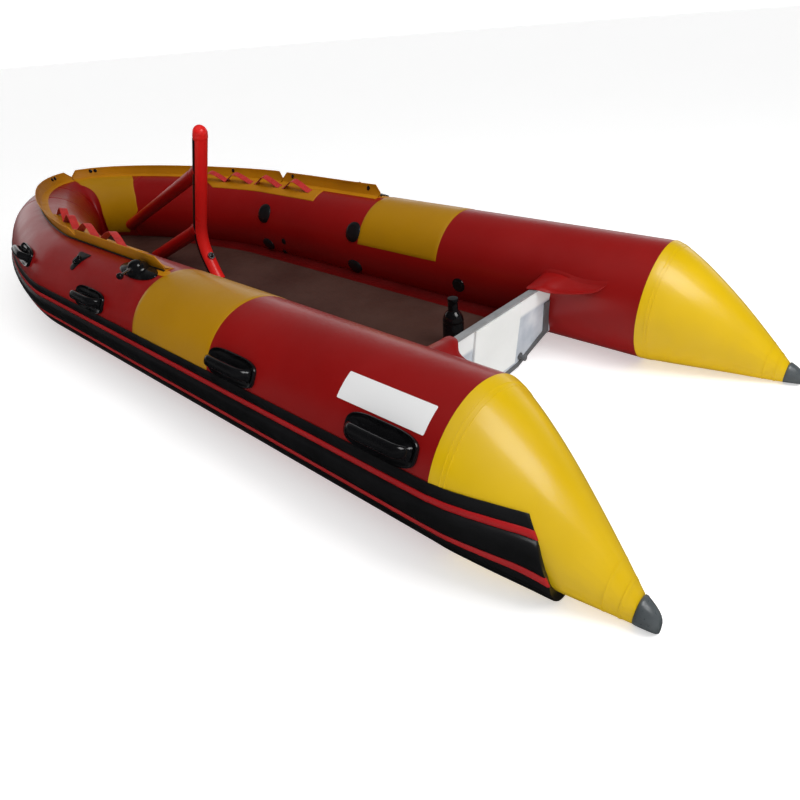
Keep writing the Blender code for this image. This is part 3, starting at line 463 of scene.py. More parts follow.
YELLOW = look("yellow_coated_fabric", [(0.64, 0.405, 0.0010), (0.70, 0.450, 0.0015), (0.75, 0.485, 0.0020)],
              (0.28, 0.40), 1.8, [("cloud", 10.0, 0.0010), ("weave", 262.0, 0.00005)],
              Specular_IOR_Level=0.4, Coat_Weight=0.3, Coat_Roughness=0.16)
# The bands' and bow panel's yellow: a darker copy of the cones' yellow. This is painted shade.
SHADED_YELLOW = look("shaded_yellow_coated_fabric", [(0.40, 0.190, 0.0010), (0.47, 0.226, 0.0015)],
                   (0.30, 0.42), 1.8, [("cloud", 10.0, 0.0010), ("weave", 262.0, 0.00005)],
                   Specular_IOR_Level=0.35, Coat_Weight=0.15, Coat_Roughness=0.2)
FLAP_YELLOW = look("flap_yellow_fabric", [(0.45, 0.175, 0.0010), (0.56, 0.226, 0.0015)],
                   (0.42, 0.56), 3.0, [("cloud", 16.0, 0.0014), ("weave", 200.0, 0.0001)],
                   Specular_IOR_Level=0.3)
WEBBING = look("red_webbing_fabric", [(0.46, 0.008, 0.008), (0.62, 0.018, 0.014)],
               (0.60, 0.78), 30.0, [("ribs", 120.0, 0.0005), ("weave", 200.0, 0.0002)],
               Sheen_Weight=0.25, Sheen_Roughness=0.4)
RUBBER = look("black_extruded_rubber", [(0.0050, 0.0050, 0.0056), (0.0095, 0.0095, 0.0105)],
              (0.30, 0.44), 7.0, [("cloud", 30.0, 0.0003), ("cloud", 700.0, 0.00003)],
              Specular_IOR_Level=0.35)
RED_RUBBER = look("red_rubber_stripe", [(0.34, 0.004, 0.006), (0.42, 0.007, 0.009)],
                  (0.36, 0.50), 6.0, [("cloud", 300.0, 0.00005)], Specular_IOR_Level=0.3)
MOULDED = look("black_moulded_plastic", [(0.0035, 0.0035, 0.0040), (0.0075, 0.0075, 0.0085)],
               (0.12, 0.20), 14.0, [("cloud", 30.0, 0.0003)])
SLATE = look("slate_cap_rubber", [(0.052, 0.061, 0.066), (0.105, 0.118, 0.124)],
             (0.26, 0.38), 18.0, [("cloud", 20.0, 0.0002)], Coat_Weight=0.3, Coat_Roughness=0.25)
DECK = look("deck_coating", [(0.044, 0.018, 0.014), (0.058, 0.026, 0.020), (0.074, 0.036, 0.028)],
            (0.42, 0.60), 2.6, [("cells", 420.0, 0.0002), ("cloud", 14.0, 0.0006)], Specular_IOR_Level=0.3)
# The deck-side flaps' red: a much darker copy of the tube red. This is painted shade for the flaps lying in
# shadow.
SHADED_RED = look("shaded_red_fabric", [(0.085, 0.0015, 0.0015), (0.120, 0.0030, 0.0030)],
                (0.40, 0.55), 6.0, [("cloud", 20.0, 0.0010), ("weave", 262.0, 0.00006)],
                Specular_IOR_Level=0.3)
BOARD = look("painted_board", [(0.38, 0.43, 0.49), (0.50, 0.54, 0.59), (0.64, 0.67, 0.70)],
             (0.34, 0.50), 9.0, [("cloud", 80.0, 0.0002)], above=((0.80, 0.82, 0.82), 0.246, 0.262))
PAD = look("white_moulded_pad", [(0.76, 0.78, 0.77), (0.82, 0.84, 0.83)],
           (0.36, 0.48), 6.0, [("cells", 500.0, 0.00006)])
CHANNEL = look("grey_channel", [(0.27, 0.28, 0.29), (0.40, 0.41, 0.42)],
               (0.30, 0.46), 11.0, [("cloud", 200.0, 0.0001)], Metallic=0.25)
EDGING = look("dark_edging", [(0.085, 0.088, 0.094), (0.150, 0.155, 0.160)],
              (0.34, 0.50), 11.0, [("cloud", 200.0, 0.0001)])
STEEL = look("brushed_steel", [(0.58, 0.58, 0.59), (0.72, 0.72, 0.73)],
             (0.16, 0.30), 25.0, [("cloud", 500.0, 0.00004)], Metallic=1.0)
STICKER = look("blank_white_film", [(0.87, 0.87, 0.87), (0.88, 0.88, 0.88)],
               (0.28, 0.32), 0.6, [])


# Air tubes

SEAMS = (3.600, 3.930)
SEAM_HALF = 0.016
SEAM_LIFT = 0.0007
# Glued panels: how far their underside and their rim lie off the skin, and the size of their faces
SUNK = -0.002
RIM_LIFT = 0.0003
PANEL_STEP = 0.022
PANEL_EDGE = 0.003


def make_tubes():
    """The red skin of the whole tube, from one stern seam round the bow to the other, with its seam tapes."""
    stations = set(spaced(0, STRAIGHT_END, 0.06) + spaced(STRAIGHT_END, HALF_LENGTH, 0.022))
    for seam in SEAMS:
        stations |= {seam - SEAM_HALF, seam - SEAM_HALF + 0.001, seam + SEAM_HALF - 0.001, seam + SEAM_HALF}
    half = sorted(stations)
    rings = []
    for s in half + [2 * HALF_LENGTH - s for s in half[-2::-1]]:
        near = min(abs(min(s, 2 * HALF_LENGTH - s) - seam) for seam in SEAMS)
        tape = SEAM_LIFT if near < SEAM_HALF - 0.0005 else 0.0
        ring = []
        for i in range(ROUND):
            angle = i * 360 / ROUND
            ring.append(hull_point(-1, s, angle, tape + swell(hull_point(-1, s, angle))))
        rings.append(ring)
    shape = Shape()
    shape.tube(rings)
    nodes = [f"{part}_{word}" for part in ("aft_tube", "band_tube", "forward_tube", "bow_shoulder")
             for word, _ in SIDES]
    shape.piece("air_tube_skin", RED, nodes + ["bow_nose"], sharp=60)


def glue_panels(name, sides, rows, thick, look_used, replaces=()):
    """Thin closed panels on the tube, one for each side, through rows of an angle and two stations."""
    shape = Shape()
    count = round(max(last - first for _, first, last in rows) / PANEL_STEP)
    edge = min(PANEL_EDGE, thick * 2)
    for side in sides:
        outer, inner = [], []
        for index, (angle, first, last) in enumerate(rows):
            rim = index in (0, len(rows) - 1)
            middle = [first + edge + (last - first - 2 * edge) * k / count for k in range(1, count)]
            stations = [first, first + edge] + middle + [last - edge, last]
            over, under = [], []
            for k, s in enumerate(stations):
                at_rim = rim or k in (0, len(stations) - 1)
                lift = (RIM_LIFT if at_rim else thick) + swell(hull_point(side, s, angle))
                over.append(hull_point(side, s, angle, lift))
                under.append(hull_point(side, s, angle, SUNK))
            outer.append(over)
            inner.append(under)
        shape.shell(outer, inner)
    return shape.piece(name, look_used, replaces)


def rows_between(low, high, span, step=3.75, edge=0.7):
    """Rows of a panel between two angles, with a narrow row at each rim. span gives its two stations."""
    angles = [low, low + edge] + spaced(low + edge, high - edge, step)[1:-1] + [high - edge, high]
    return [(a, *span(a)) for a in angles]


BAND = (0.978, 1.501)
BAND_ANGLES = (15.0, 166.0)
# The bow panel: its lowest and highest angle, and its two ends as angles and distances from the bow
BOW_PANEL_ANGLES = (88.0, 205.0)
BOW_PANEL_FORE = [(84, 0.0), (115, 0.002), (135, 0.107), (160, 0.222), (181, 0.242), (203, 0.207)]
BOW_PANEL_AFT = [(79, 0.382), (111, 0.492), (145, 0.572), (166, 0.592), (205, 0.437)]
PANEL_THICK = 0.0014


def make_bands():
    """The yellow bands of both side tubes, and the one yellow panel inside the bow, to starboard."""
    rows = rows_between(*BAND_ANGLES, lambda a: BAND)
    glue_panels("yellow_bands", (-1, 1), rows, PANEL_THICK, SHADED_YELLOW)
    rows = rows_between(*BOW_PANEL_ANGLES, lambda a: (HALF_LENGTH - through(BOW_PANEL_AFT, a),
                                                      HALF_LENGTH - through(BOW_PANEL_FORE, a)))
    glue_panels("bow_yellow_panel", (1,), rows, PANEL_THICK, SHADED_YELLOW)


# Lifts along the stern cones by the distance aft of the seam: an overlap at the tube and three seam tapes
CONE_RIDGES = [(0.0, 0.0012), (0.028, 0.0012), (0.0285, 0.0020), (0.0315, 0.0020), (0.032, 0.0010),
               (0.0405, 0.0010), (0.041, 0.0018), (0.044, 0.0018), (0.0445, 0.0004), (0.06, 0.0),
               (0.425, 0.0), (0.4255, 0.0009), (0.4295, 0.0009), (0.430, 0.0), (0.462, 0.0), (0.4625, 0.0012),
               (0.4690, 0.0012), (0.4695, 0.0), (0.492, 0.0)]
# Puckers: the distance aft, reach, height, how close together they are round the cone, and a seed
CONE_PUCKERS = ((0.055, 0.03, 0.0010, 0.19, 2), (0.37, 0.06, 0.0012, 0.11, 7))


def make_cones():
    """The yellow stern cones, with the seam tapes that cross them and small puckers beside these."""
    for word, side in SIDES:
        afts = sorted(set([r[0] for r in CONE_RIDGES] + spaced(0.0, 0.492, 0.013)))
        angles = [i * 360 / ROUND for i in range(ROUND)]
        rings = [[hull_point(side, 0.0002, angle, -0.003) for angle in angles]]
        for aft in afts:
            ring = []
            for angle in angles:
                lift = through(CONE_RIDGES, aft)
                for middle, reach, height, pitch, seed in CONE_PUCKERS:
                    fade = math.exp(-((aft - middle) / reach)**2)
                    lift += height * fade * noise.noise(Vector((angle * pitch, side, seed)))
                lift += swell(hull_point(side, -aft, angle), 0.0012, 5.0)
                ring.append(hull_point(side, -aft, angle, lift))
            rings.append(ring)
        rings.append([hull_point(side, -0.4965, angle, SUNK) for angle in angles])
        shape = Shape()
        shape.tube(rings)
        shape.piece("stern_cone_skin_" + word, YELLOW, ["stern_cone_" + word])


CAP_PROFILE = [(-0.008, 0.036), (-0.0005, 0.0385), (0.0015, 0.0398), (0.006, 0.0396), (0.010, 0.0382),
               (0.020, 0.0352), (0.030, 0.0318), (0.040, 0.0275), (0.047, 0.0235), (0.0515, 0.0195),
               (0.0545, 0.0145), (0.0558, 0.007)]
CAP_RISE = 0.004


def make_caps():
    """Moulded plugs on the cones' ends, rounded off."""
    for word, side in SIDES:
        rings = []
        for along, radius in CAP_PROFILE:
            aft = CONE_LENGTH - CAP_LENGTH + along
            centre = Vector((side * (HALF_SPACING + CONE_FLARE * aft / CONE_LENGTH), STERN_Y - aft, 0))
            centre.z = radius + CONE_TIP_LIFT + CAP_RISE * max(0.0, along / CAP_LENGTH)
            rings.append(circle(centre, Vector((1, 0, 0)), UP, radius, 40))
        shape = Shape()
        shape.tube(rings)
        shape.piece("cone_plug_" + word, SLATE, ["cone_cap_" + word])


# Rub strake: its section as angles and lifts, the two stripes, and how it ends and climbs on the cones

STRAKE = [(16.0, -0.001), (16.0, 0.0028), (15.6, 0.0036), (12.0, 0.0046), (8.8, 0.0056), (8.4, 0.0050),
          (3.4, 0.0062), (3.0, 0.0100), (1.6, 0.0160), (0.0, 0.0193), (-2.5, 0.0218), (-5.5, 0.0228),
          (-9.0, 0.0229), (-11.6, 0.0224), (-12.4, 0.0208), (-18.0, 0.0208), (-18.5, 0.0226),
          (-20.0, 0.0243), (-23.0, 0.0250), (-26.0, 0.0250), (-26.5, 0.0240), (-27.3, 0.0240),
          (-27.8, 0.0250), (-32.0, 0.0243), (-36.0, 0.0228), (-38.5, 0.0186), (-41.0, 0.0110),
          (-42.6, 0.0044), (-43.0, 0.0030), (-43.0, -0.001)]
STRIPES = ((8.2, 3.7, 0.0078), (-12.7, -17.7, 0.0224))
STRAKE_END = [(0.0, -0.235), (0.3, -0.287), (0.6, -0.322), (1.0, -0.330)]
STRAKE_CLIMB = [(0.0, 16.0), (0.060, 19.7), (0.115, 25.0), (0.170, 32.0), (0.205, 37.5), (0.235, 43.0),
                (0.345, 62.0)]
STRAKE_TOP, STRAKE_BOTTOM = 16.0, -43.0


def strake_point(side, place, angle, lift):
    """A point of the strake by its angle on the side tube. A negative place is a share of the way to its aft
    end, where it keeps its width on the cone and climbs."""
    station = place
    if place < 0:
        share = (STRAKE_TOP - angle) / (STRAKE_TOP - STRAKE_BOTTOM)
        station = -place * through(STRAKE_END, share)
        below = (STRAKE_TOP - angle) * TUBE_R / cone_radius(-station)
        angle = through(STRAKE_CLIMB, -station) - below
        lift += 0.0015 * ease(-station / 0.06) if lift > 0 else 0.0
        if place <= -1:
            lift = max(lift - 0.0025, -0.001)
    return hull_point(side, station, angle, lift)


def make_strakes():
    """The moulded strake round the whole hull, and its two red stripes."""
    half = [-1.0, -0.99, -0.965] + spaced(-0.92, -0.04, 0.08) + spaced(0, STRAIGHT_END, 0.08)[:-1]
    half += spaced(STRAIGHT_END, HALF_LENGTH, 0.03)
    places = both_sides(half)
    shape = Shape()
    shape.tube([[strake_point(side, s, a, lift) for a, lift in STRAKE] for side, s in places])
    nodes = [f"rub_strake_{part}_{word}" for part in ("side", "bow") for word, _ in SIDES]
    shape.piece("rub_strake", RUBBER, nodes, sharp=50)
    shape = Shape()
    for top, bottom, lift in STRIPES:
        outline = [(top, lift - 0.005), (top, lift - 0.0008), (top - 0.25, lift),
                   ((top + bottom) / 2, lift + 0.0006), (bottom + 0.25, lift), (bottom, lift - 0.0008),
                   (bottom, lift - 0.005)]
        shape.tube([[strake_point(side, s, a, w) for a, w in outline] for side, s in places])
    shape.piece("strake_stripes", RED_RUBBER, ["strake_stripe_upper", "strake_stripe_lower"])


# Deck and bottom

DECK_THICK = 0.020
DECK_FLAP_SECTION = [(0.2105, 0.1300), (0.2165, 0.1300), (0.224, 0.1255), (0.236, 0.1195), (0.252, 0.1142),
                     (0.268, 0.1122), (0.2830, 0.1116), (0.2840, 0.1104), (0.262, 0.109), (0.222, 0.1150),
                     (0.2050, 0.1240)]
DECK_FLAP_SPAN = (DECK_AFT + 0.004, 3.15)


def make_deck():
    """The coated deck, fitted to the tubes, and the fabric flaps that seal its sides."""
    reach = -(math.sqrt(TUBE_R**2 - (TUBE_R - DECK_TOP)**2) - 0.004)
    stations = [DECK_AFT] + spaced(0.5, STRAIGHT_END, 0.12) + spaced(STRAIGHT_END + 0.03, HALF_LENGTH, 0.03)
    around = both_sides(stations)
    shape = Shape()
    shape.tube([[across_point(side, s, reach, z) for side, s in around]
                for z in (DECK_TOP - DECK_THICK, DECK_TOP - 0.001, DECK_TOP)])
    shape.piece("deck_panel", DECK, ["deck"])
    for word, side in SIDES:
        rows = []
        for s in spaced(*DECK_FLAP_SPAN, 0.04):
            wave = 0.0012 * noise.noise(Vector((s * 5.0, side, 0)))
            over_edge = [0.23 < out < 0.26 and z > DECK_TOP + 0.003 for out, z in DECK_FLAP_SECTION]
            rows.append([across_point(side, s, -out, z + (wave if free else 0))
                         for (out, z), free in zip(DECK_FLAP_SECTION, over_edge)])
        shape = Shape()
        shape.tube(rows)
        made = shape.piece("deck_edge_flap_" + word, SHADED_RED, ["deck_flap_" + word])


BOTTOM_FORE = 3.380
KEEL_Z = 0.004
KEEL_BOW_RISE = 0.062
CHINE_ANGLE = 225.0
FLANGE_ANGLE = 241.0
VEE_POWER = 2.54


def bottom_widths(angle, lift):
    """Distances along the boat and half widths of a line at an angle on the starboard tube."""
    points = [hull_point(1, s, angle, lift) for s in spaced(0.3, HALF_LENGTH, 0.02)]
    return [(p.y, p.x) for p in points]


def make_bottom():
    """The shallow vee bottom: its fabric lies against the tubes along both sides and has a keel strip."""
    lines = [(angle, lift, bottom_widths(angle, lift)) for angle, lift in
             ((212.8, 0.0), (FLANGE_ANGLE, -0.001), (FLANGE_ANGLE, 0.0013), (236.0, 0.0014), (230.0, 0.0014),
              (CHINE_ANGLE, 0.0018))]
    heights = [hull_point(1, 1.0, angle, lift).z for angle, lift, _ in lines]
    rows = []
    for y in [DECK_AFT] + spaced(0.5, BOTTOM_FORE, 0.06):
        keel = KEEL_Z + KEEL_BOW_RISE * max(0.0, (y - STRAIGHT_END) / (BOTTOM_FORE - STRAIGHT_END))**2
        half = [(through(widths, STERN_Y + y), z) for (_, _, widths), z in zip(lines, heights)]
        chine_x, chine_z = half[-1]
        for share in (0.93, 0.85, 0.75, 0.62, 0.48, 0.34, 0.2):
            half.append((chine_x * share, keel + (chine_z - keel) * share**VEE_POWER))
        half += [(0.028, keel + 0.0004), (0.0275, keel - 0.0016), (0.0, keel - 0.0018)]
        outline = half + [(-x, z) for x, z in half[-2::-1]]
        rows.append([Vector((x, STERN_Y + y, z)) for x, z in outline])
    shape = Shape()
    shape.tube(rows)
    shape.piece("hull_bottom_skin", RED, ["hull_bottom"], sharp=30)


# Transom


def soften(name, look_used, width):
    """A node of the model that keeps its shape and gets eased edges."""
    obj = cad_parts[name]
    for slot in obj.material_slots:
        slot.material = look_used
    bevel = obj.modifiers.new("eased_edges", "BEVEL")
    bevel.width = width
    bevel.segments = 2
    bevel.limit_method = "ANGLE"
    bevel.angle_limit = math.radians(40)


# The gussets from their fore end aft: the glued line in stations and angles, the free edge, and their sag
GUSSET_GLUE = ((0.425, 157.0), (0.400, 153.0), (0.345, 152.5), (0.290, 154.5), (0.235, 155.5), (0.185, 155.0),
               (0.140, 152.5))
GUSSET_EDGE = ((0.258, 0.400, 0.3385), (0.250, 0.392, 0.3378), (0.262, 0.3555, 0.3378), (0.303, 0.316, 0.318),
               (0.343, 0.232, 0.318), (0.383, 0.168, 0.327), (0.414, 0.143, 0.346))
GUSSET_SAG = (0.0, 0.0, 0.0, 0.006, 0.008, 0.006, 0.001)
GUSSET_THICK = 0.0024


def smooth_read(values, place):
    """Reads a list of numbers or vectors at a fractional index, on a smooth curve through them."""
    i = min(int(place), len(values) - 2)
    t = place - i
    before, here = values[max(i - 1, 0)], values[i]
    after, beyond = values[i + 1], values[min(i + 2, len(values) - 1)]
    return ((here * 2) + (after - before) * t + (before * 2 - here * 5 + after * 4 - beyond) * t**2
            + (here * 3 - before - after * 3 + beyond) * t**3) * 0.5


def make_gussets():
    """Fabric gussets from the tubes to the board's upper corners, with a folded edge and soft creases."""
    for word, side in SIDES:
        glue_stations = [Vector((s, a, 0)) for s, a in GUSSET_GLUE]
        edge = [Vector((side * x, STERN_Y + y, z)) for x, y, z in GUSSET_EDGE]
        over, under = [], []
        for i in range(31):
            place = i * (len(edge) - 1) / 30
            station, angle, _ = smooth_read(glue_stations, place)
            glued = hull_point(side, station, angle, 0.0006)
            free = smooth_read(edge, place)
            sag = smooth_read(GUSSET_SAG, place)
            row = [hull_point(side, station, angle - lap, 0.0006) for lap in (4.0, 3.4)]
            for k in range(13):
                share = k / 12
                arch = math.sin(math.pi * share)
                crease = 0.0022 * arch * noise.noise(Vector((place * 1.7, share * 1.3, side)))
                fold = 0.0016 * math.exp(-((place - 1.6) / 0.35)**2) * arch
                row.append(glued.lerp(free, share) - UP * sag * arch + UP * (crease + fold))
            hem = [GUSSET_THICK * times for times in (1.1, 2.0, 2.1, 1.2)]
            rim = [0.0005, GUSSET_THICK * 0.8] + [GUSSET_THICK] * 9 + hem
            under.append(row)
            over.append([p + UP * h for p, h in zip(row, rim)])
        shape = Shape()
        shape.shell(over, under)
        made = shape.piece("gusset_fabric_" + word, RED, ["transom_gusset_" + word])
        lengths = [(row[-1] - row[0]).length for row in under]
        share = sum(lengths) / len(lengths) / max(lengths)


def make_transom():
    """The transom's rigid pieces, with eased edges, and its two gussets."""
    soften("transom_board", BOARD, 0.003)
    soften("transom_channel", CHANNEL, 0.0012)
    soften("motor_pad_outer", PAD, 0.002)
    soften("motor_pad_inner", PAD, 0.002)
    soften("transom_edging", EDGING, 0.0015)
    soften("drain_fitting", EDGING, 0.0008)
    make_gussets()


# Spray flap

FLAP_START = 1.540
FLAP_NOTCH = 2.362
FLAP_HEIGHT = 0.058
FLAP_LEAN = 0.25
FLAP_THICK = 0.0026
FLAP_ROOT = 0.0045
FLAP_FOOT = 0.0055
NOTCH_HALF = 0.037
NOTCH_HEIGHT = 0.022
HEM_IN = 0.030
FLAP_STEPS = 9


def flap_height(s, first, last):
    """Height of the flap at a station of a panel: it falls away in a notch at each end."""
    share = min(min(s - first, last - s) / NOTCH_HALF, 1.0)
    return NOTCH_HEIGHT + (FLAP_HEIGHT - NOTCH_HEIGHT) * share


def flap_face(side, s, height, share):
    """Distance outboard and height over the tube's top of the flap's inner face, at a share of the way up."""
    wave = 0.0035 * noise.noise(Vector((s * 3.1, side * 5.0, 1.0)))
    wave += 0.0012 * noise.noise(Vector((s * 11, 0, 3)))
    z = FLAP_FOOT + (height - FLAP_FOOT) * share
    return FLAP_ROOT + z * FLAP_LEAN + wave * share**1.5 + 0.002 * math.sin(math.pi * share), z


def flap_section(side, s, height):
    """The flap's closed section: a hem glued inboard, the standing sheet with its folded top, and a foot."""
    top = 2 * TUBE_R
    points = [(-HEM_IN, skin_height(HEM_IN, -0.0006)), (-HEM_IN, skin_height(HEM_IN, 0.0010)),
              (-HEM_IN + 0.001, skin_height(HEM_IN, 0.0018)), (-0.0060, skin_height(0.006, 0.0020)),
              (0.0010, skin_height(0.001, 0.0028))]
    shares = [i / FLAP_STEPS for i in range(FLAP_STEPS + 1)]
    for share in shares:
        out, z = flap_face(side, s, height, share)
        points.append((out - (0.0010 if share > 0.8 else 0.0), top + z))
    out, z = flap_face(side, s, height, 1.0)
    points.append((out + FLAP_THICK * 0.5, top + z + 0.0016))
    for share in shares[::-1]:
        out, z = flap_face(side, s, height, share)
        points.append((out + FLAP_THICK + (0.0012 if share > 0.8 else 0.0), top + z))
    points += [(0.0098, skin_height(0.0098, 0.0020)), (0.0120, skin_height(0.012, 0.0012)),
               (0.0120, skin_height(0.012, -0.0006))]
    return [across_point(side, s, out, z) for out, z in points]


def make_flaps():
    """The stand-up spray flap: a panel along each side and two that meet at the bow."""
    for word, side in SIDES:
        for part, first, last in (("side", FLAP_START, FLAP_NOTCH), ("bow", FLAP_NOTCH, HALF_LENGTH)):
            inner = spaced(first + NOTCH_HALF, last - NOTCH_HALF, 0.022)
            ends = [0.0005, 0.009, 0.018, 0.028]
            stations = [first + e for e in ends] + inner + [last - e for e in ends[::-1]]
            shape = Shape()
            shape.tube([flap_section(side, s, flap_height(s, first, last)) for s in stations])
            made = shape.piece(f"spray_flap_{part}_panel_{word}", FLAP_YELLOW,
                               [f"spray_flap_{part}_{word}"])
    make_flap_trim()


# The black bead at the flap's outer foot is painted shadow: a dark piece standing for the shade line under
# the outward-leaning flap.
SHADE_BEAD_OUT = 0.0150
SHADE_BEAD_R = 0.0042
FLAP_STUDS = ((1.63, 0.036), (2.27, 0.040), (2.81, 0.040), (3.955, 0.040), (3.985, 0.040))


def make_flap_trim():
    """A black bead along the flap's outer foot, a dark piece standing in for the shade under the leaning
    flap; the yellow foot tabs at its aft ends; and its studs.
    """
    half = spaced(FLAP_START - 0.004, STRAIGHT_END, 0.06)[:-1] + spaced(STRAIGHT_END, HALF_LENGTH, 0.03)
    places = both_sides(half)
    path = [across_point(side, s, SHADE_BEAD_OUT, skin_height(SHADE_BEAD_OUT, SHADE_BEAD_R * 0.7)) for side, s in places]
    shape = Shape()
    sweep(shape, path, UP, ring_section(SHADE_BEAD_R))
    shape.piece("flap_foot_shade_bead", RUBBER)
    for word, side in SIDES:
        shape = Shape()
        pad(shape, side, FLAP_START - 0.002, 84.5, oval(0.046, 0.023, 2.6, 40),
            [(0, 1, -0.002), (0, 1, 0.0010), (0.001, 1, 0.0018), (0.004, 1, 0.0020), (0.004, 0.6, 0.0021),
             (0.004, 0.2, 0.0021)])
        shape.piece("flap_foot_tab_" + word, FLAP_YELLOW)
        shape = Shape()
        for s, height in FLAP_STUDS:
            out, z = flap_face(side, s, FLAP_HEIGHT, (height - FLAP_FOOT) / (FLAP_HEIGHT - FLAP_FOOT))
            base = across_point(side, s, out + 0.0006, 2 * TUBE_R + z)
            inward = (across_point(side, s, out - 0.1, 2 * TUBE_R + z + 0.025) - base).normalized()
            turned(shape, base, inward, [(0, 0.0120), (0.0018, 0.0120), (0.0030, 0.0105), (0.0032, 0.0070),
                                         (0.0056, 0.0062), (0.0064, 0.0040)], 24)
        shape.piece("flap_studs_" + word, MOULDED)


# Fittings on the tubes

HANDLES = ((0.172, 28.0), (0.838, 28.0), (1.882, 28.0), (2.700, 37.0))
HANDLE_BASE = [(0.0, 1.0, -0.002), (0.0, 1.0, 0.0060), (0.0012, 1.0, 0.0100), (0.0036, 1.0, 0.0118),
               (0.0062, 1.0, 0.0112), (0.0088, 1.0, 0.0076), (0.0120, 1.0, 0.0052), (0.0120, 0.75, 0.0046),
               (0.0120, 0.35, 0.0046)]
GRIP_REACH = 0.092
GRIP_HEIGHT = 0.0400
GRIP_BEND = 0.026
GRIP_WIDE, GRIP_TALL = 0.0190, 0.0150


def make_handles():
    """Moulded grab handles: a dished base with a round rim, and a fat bar with room for the fingers."""
    for word, side in SIDES:
        for number, (station, angle) in enumerate(HANDLES, start=1):
            shape = Shape()
            pad(shape, side, station, angle, oval(0.1275, 0.0485, 3.4, 64), HANDLE_BASE)
            grip_bar(shape, side, station, angle)
            shape.piece(f"grab_handle_{word}_{number}", MOULDED, [f"handle_{word}_{number}"],
                        sharp=50)


def grip_bar(shape, side, station, angle):
    """The bar: up from the base, round a bend, along with a slight crown, and down again."""
    half = [(GRIP_REACH + 0.006, 0.000), (GRIP_REACH + 0.002, 0.006)]
    for i in range(8):
        turn = math.pi / 2 * i / 7
        half.append((GRIP_REACH - GRIP_BEND * (1 - math.cos(turn)),
                     GRIP_HEIGHT - GRIP_BEND * (1 - math.sin(turn))))
    half.append((0.030, GRIP_HEIGHT + 0.0012))
    line = [(-s, h) for s, h in half] + [(0.0, GRIP_HEIGHT + 0.0016)] + [(s, h) for s, h in half[::-1]]
    path = [hull_point(side, station + s, angle, h) for s, h in line]
    out = outward(side, station, angle)
    across = out.cross((path[-1] - path[0]).normalized()).normalized()
    rings = []
    for i, point in enumerate(path):
        tangent = (path[min(i + 1, len(path) - 1)] - path[max(i - 1, 0)]).normalized()
        up = across.cross(tangent).normalized()
        root = 1.0 + 0.25 * (1 - ease(line[i][1] / 0.022))
        ring = []
        for k in range(28):
            c, s = math.cos(2 * math.pi * k / 28), math.sin(2 * math.pi * k / 28)
            ring.append(point + across * math.copysign(abs(c)**0.85, c) * GRIP_WIDE * root
                        + up * math.copysign(abs(s)**0.85, s) * GRIP_TALL * root)
        rings.append(ring)
    shape.tube(rings)


OARLOCK_STATION = 1.668
OARLOCK_ANGLE = 75.5
OARLOCK_PAD = [(0.0, 1.0, -0.002), (0.0, 1.0, 0.0030), (0.0015, 1.0, 0.0050), (0.006, 1.0, 0.0062),
               (0.010, 1.0, 0.0070), (0.010, 0.7, 0.0105), (0.010, 0.45, 0.0125), (0.010, 0.2, 0.0130)]
OARLOCK_BOSS = [(0, 0.049), (0.006, 0.0485), (0.012, 0.0455), (0.018, 0.0405), (0.0225, 0.0360),
                (0.0235, 0.0325), (0.029, 0.0305), (0.035, 0.0262), (0.039, 0.0205), (0.0415, 0.0135),
                (0.0425, 0.0060)]
OARLOCK_PIN = [(0, 0.0052), (0.001, 0.0055), (0.088, 0.0055), (0.0895, 0.004)]
OARLOCK_KNOB = [(0.0885, 0.006), (0.0895, 0.0095), (0.093, 0.0125), (0.098, 0.0132), (0.104, 0.0128),
                (0.109, 0.0100), (0.1115, 0.005)]
OARLOCK_DIRECTIONS = {-1: Vector((-1.0, -0.45, -0.10)), 1: Vector((0.25, 1.0, 0.42))}


def make_oarlocks():
    """A long pad with a stepped domed boss, and the rowlock's steel pin with its small knob."""
    for word, side in SIDES:
        shape = Shape()
        pad(shape, side, OARLOCK_STATION, OARLOCK_ANGLE, oval(0.136, 0.0455, 2.2, 56), OARLOCK_PAD)
        base = hull_point(side, OARLOCK_STATION, OARLOCK_ANGLE, 0.004)
        up = outward(side, OARLOCK_STATION, OARLOCK_ANGLE)
        turned(shape, base, up, OARLOCK_BOSS, 44)
        shape.piece("oarlock_mount_" + word, MOULDED, ["oarlock_pad_" + word])
        along = OARLOCK_DIRECTIONS[side]
        along = (along - up * along.dot(up) + up * 0.16).normalized()
        root = base + up * 0.022
        shape = Shape()
        turned(shape, root, along, OARLOCK_PIN, 24)
        turned(shape, root, along, OARLOCK_KNOB, 28, slot=1)
        shape.piece("oarlock_pin_and_knob_" + word, [STEEL, MOULDED], ["oarlock_pin_" + word])


DRING_STATION = 2.135
DRING_ANGLE = 60.5
DRING_RADIUS = 0.021
DRING_BAR_R = 0.0032
DRING_STRAP = [(-0.011, -0.001), (0.011, -0.001), (0.011, 0.001), (-0.011, 0.001)]


def make_drings():
    """Triangular pads that hold a black ring under a strap."""
    outline = rounded([(-0.058, 0.050), (0.058, 0.050), (0.015, -0.052), (-0.015, -0.052)], 0.014, 5)
    for word, side in SIDES:
        shape = Shape()
        pad(shape, side, DRING_STATION, DRING_ANGLE, outline,
            [(0, 1, -0.002), (0, 1, 0.0018), (0.0012, 1, 0.0030), (0.006, 1, 0.0034), (0.010, 0.8, 0.0042),
             (0.010, 0.5, 0.0050), (0.010, 0.2, 0.0052)])
        shape.piece("dring_base_" + word, RUBBER, ["dring_pad_" + word])
        centre = hull_point(side, DRING_STATION, DRING_ANGLE, 0.0078)
        out = outward(side, DRING_STATION, DRING_ANGLE)
        along = Vector((0, 1, 0))
        shape = Shape()
        path = circle(centre, along, out.cross(along).normalized(), DRING_RADIUS, 36)
        sweep(shape, path, out, ring_section(DRING_BAR_R), closed=True)
        strap = [hull_point(side, DRING_STATION + d, DRING_ANGLE, 0.005 + 0.0085 * math.exp(-(d / 0.016)**4))
                 for d in spaced(-0.034, 0.034, 0.004)]
        sweep(shape, strap, out, DRING_STRAP)
        shape.piece("dring_and_strap_" + word, MOULDED)


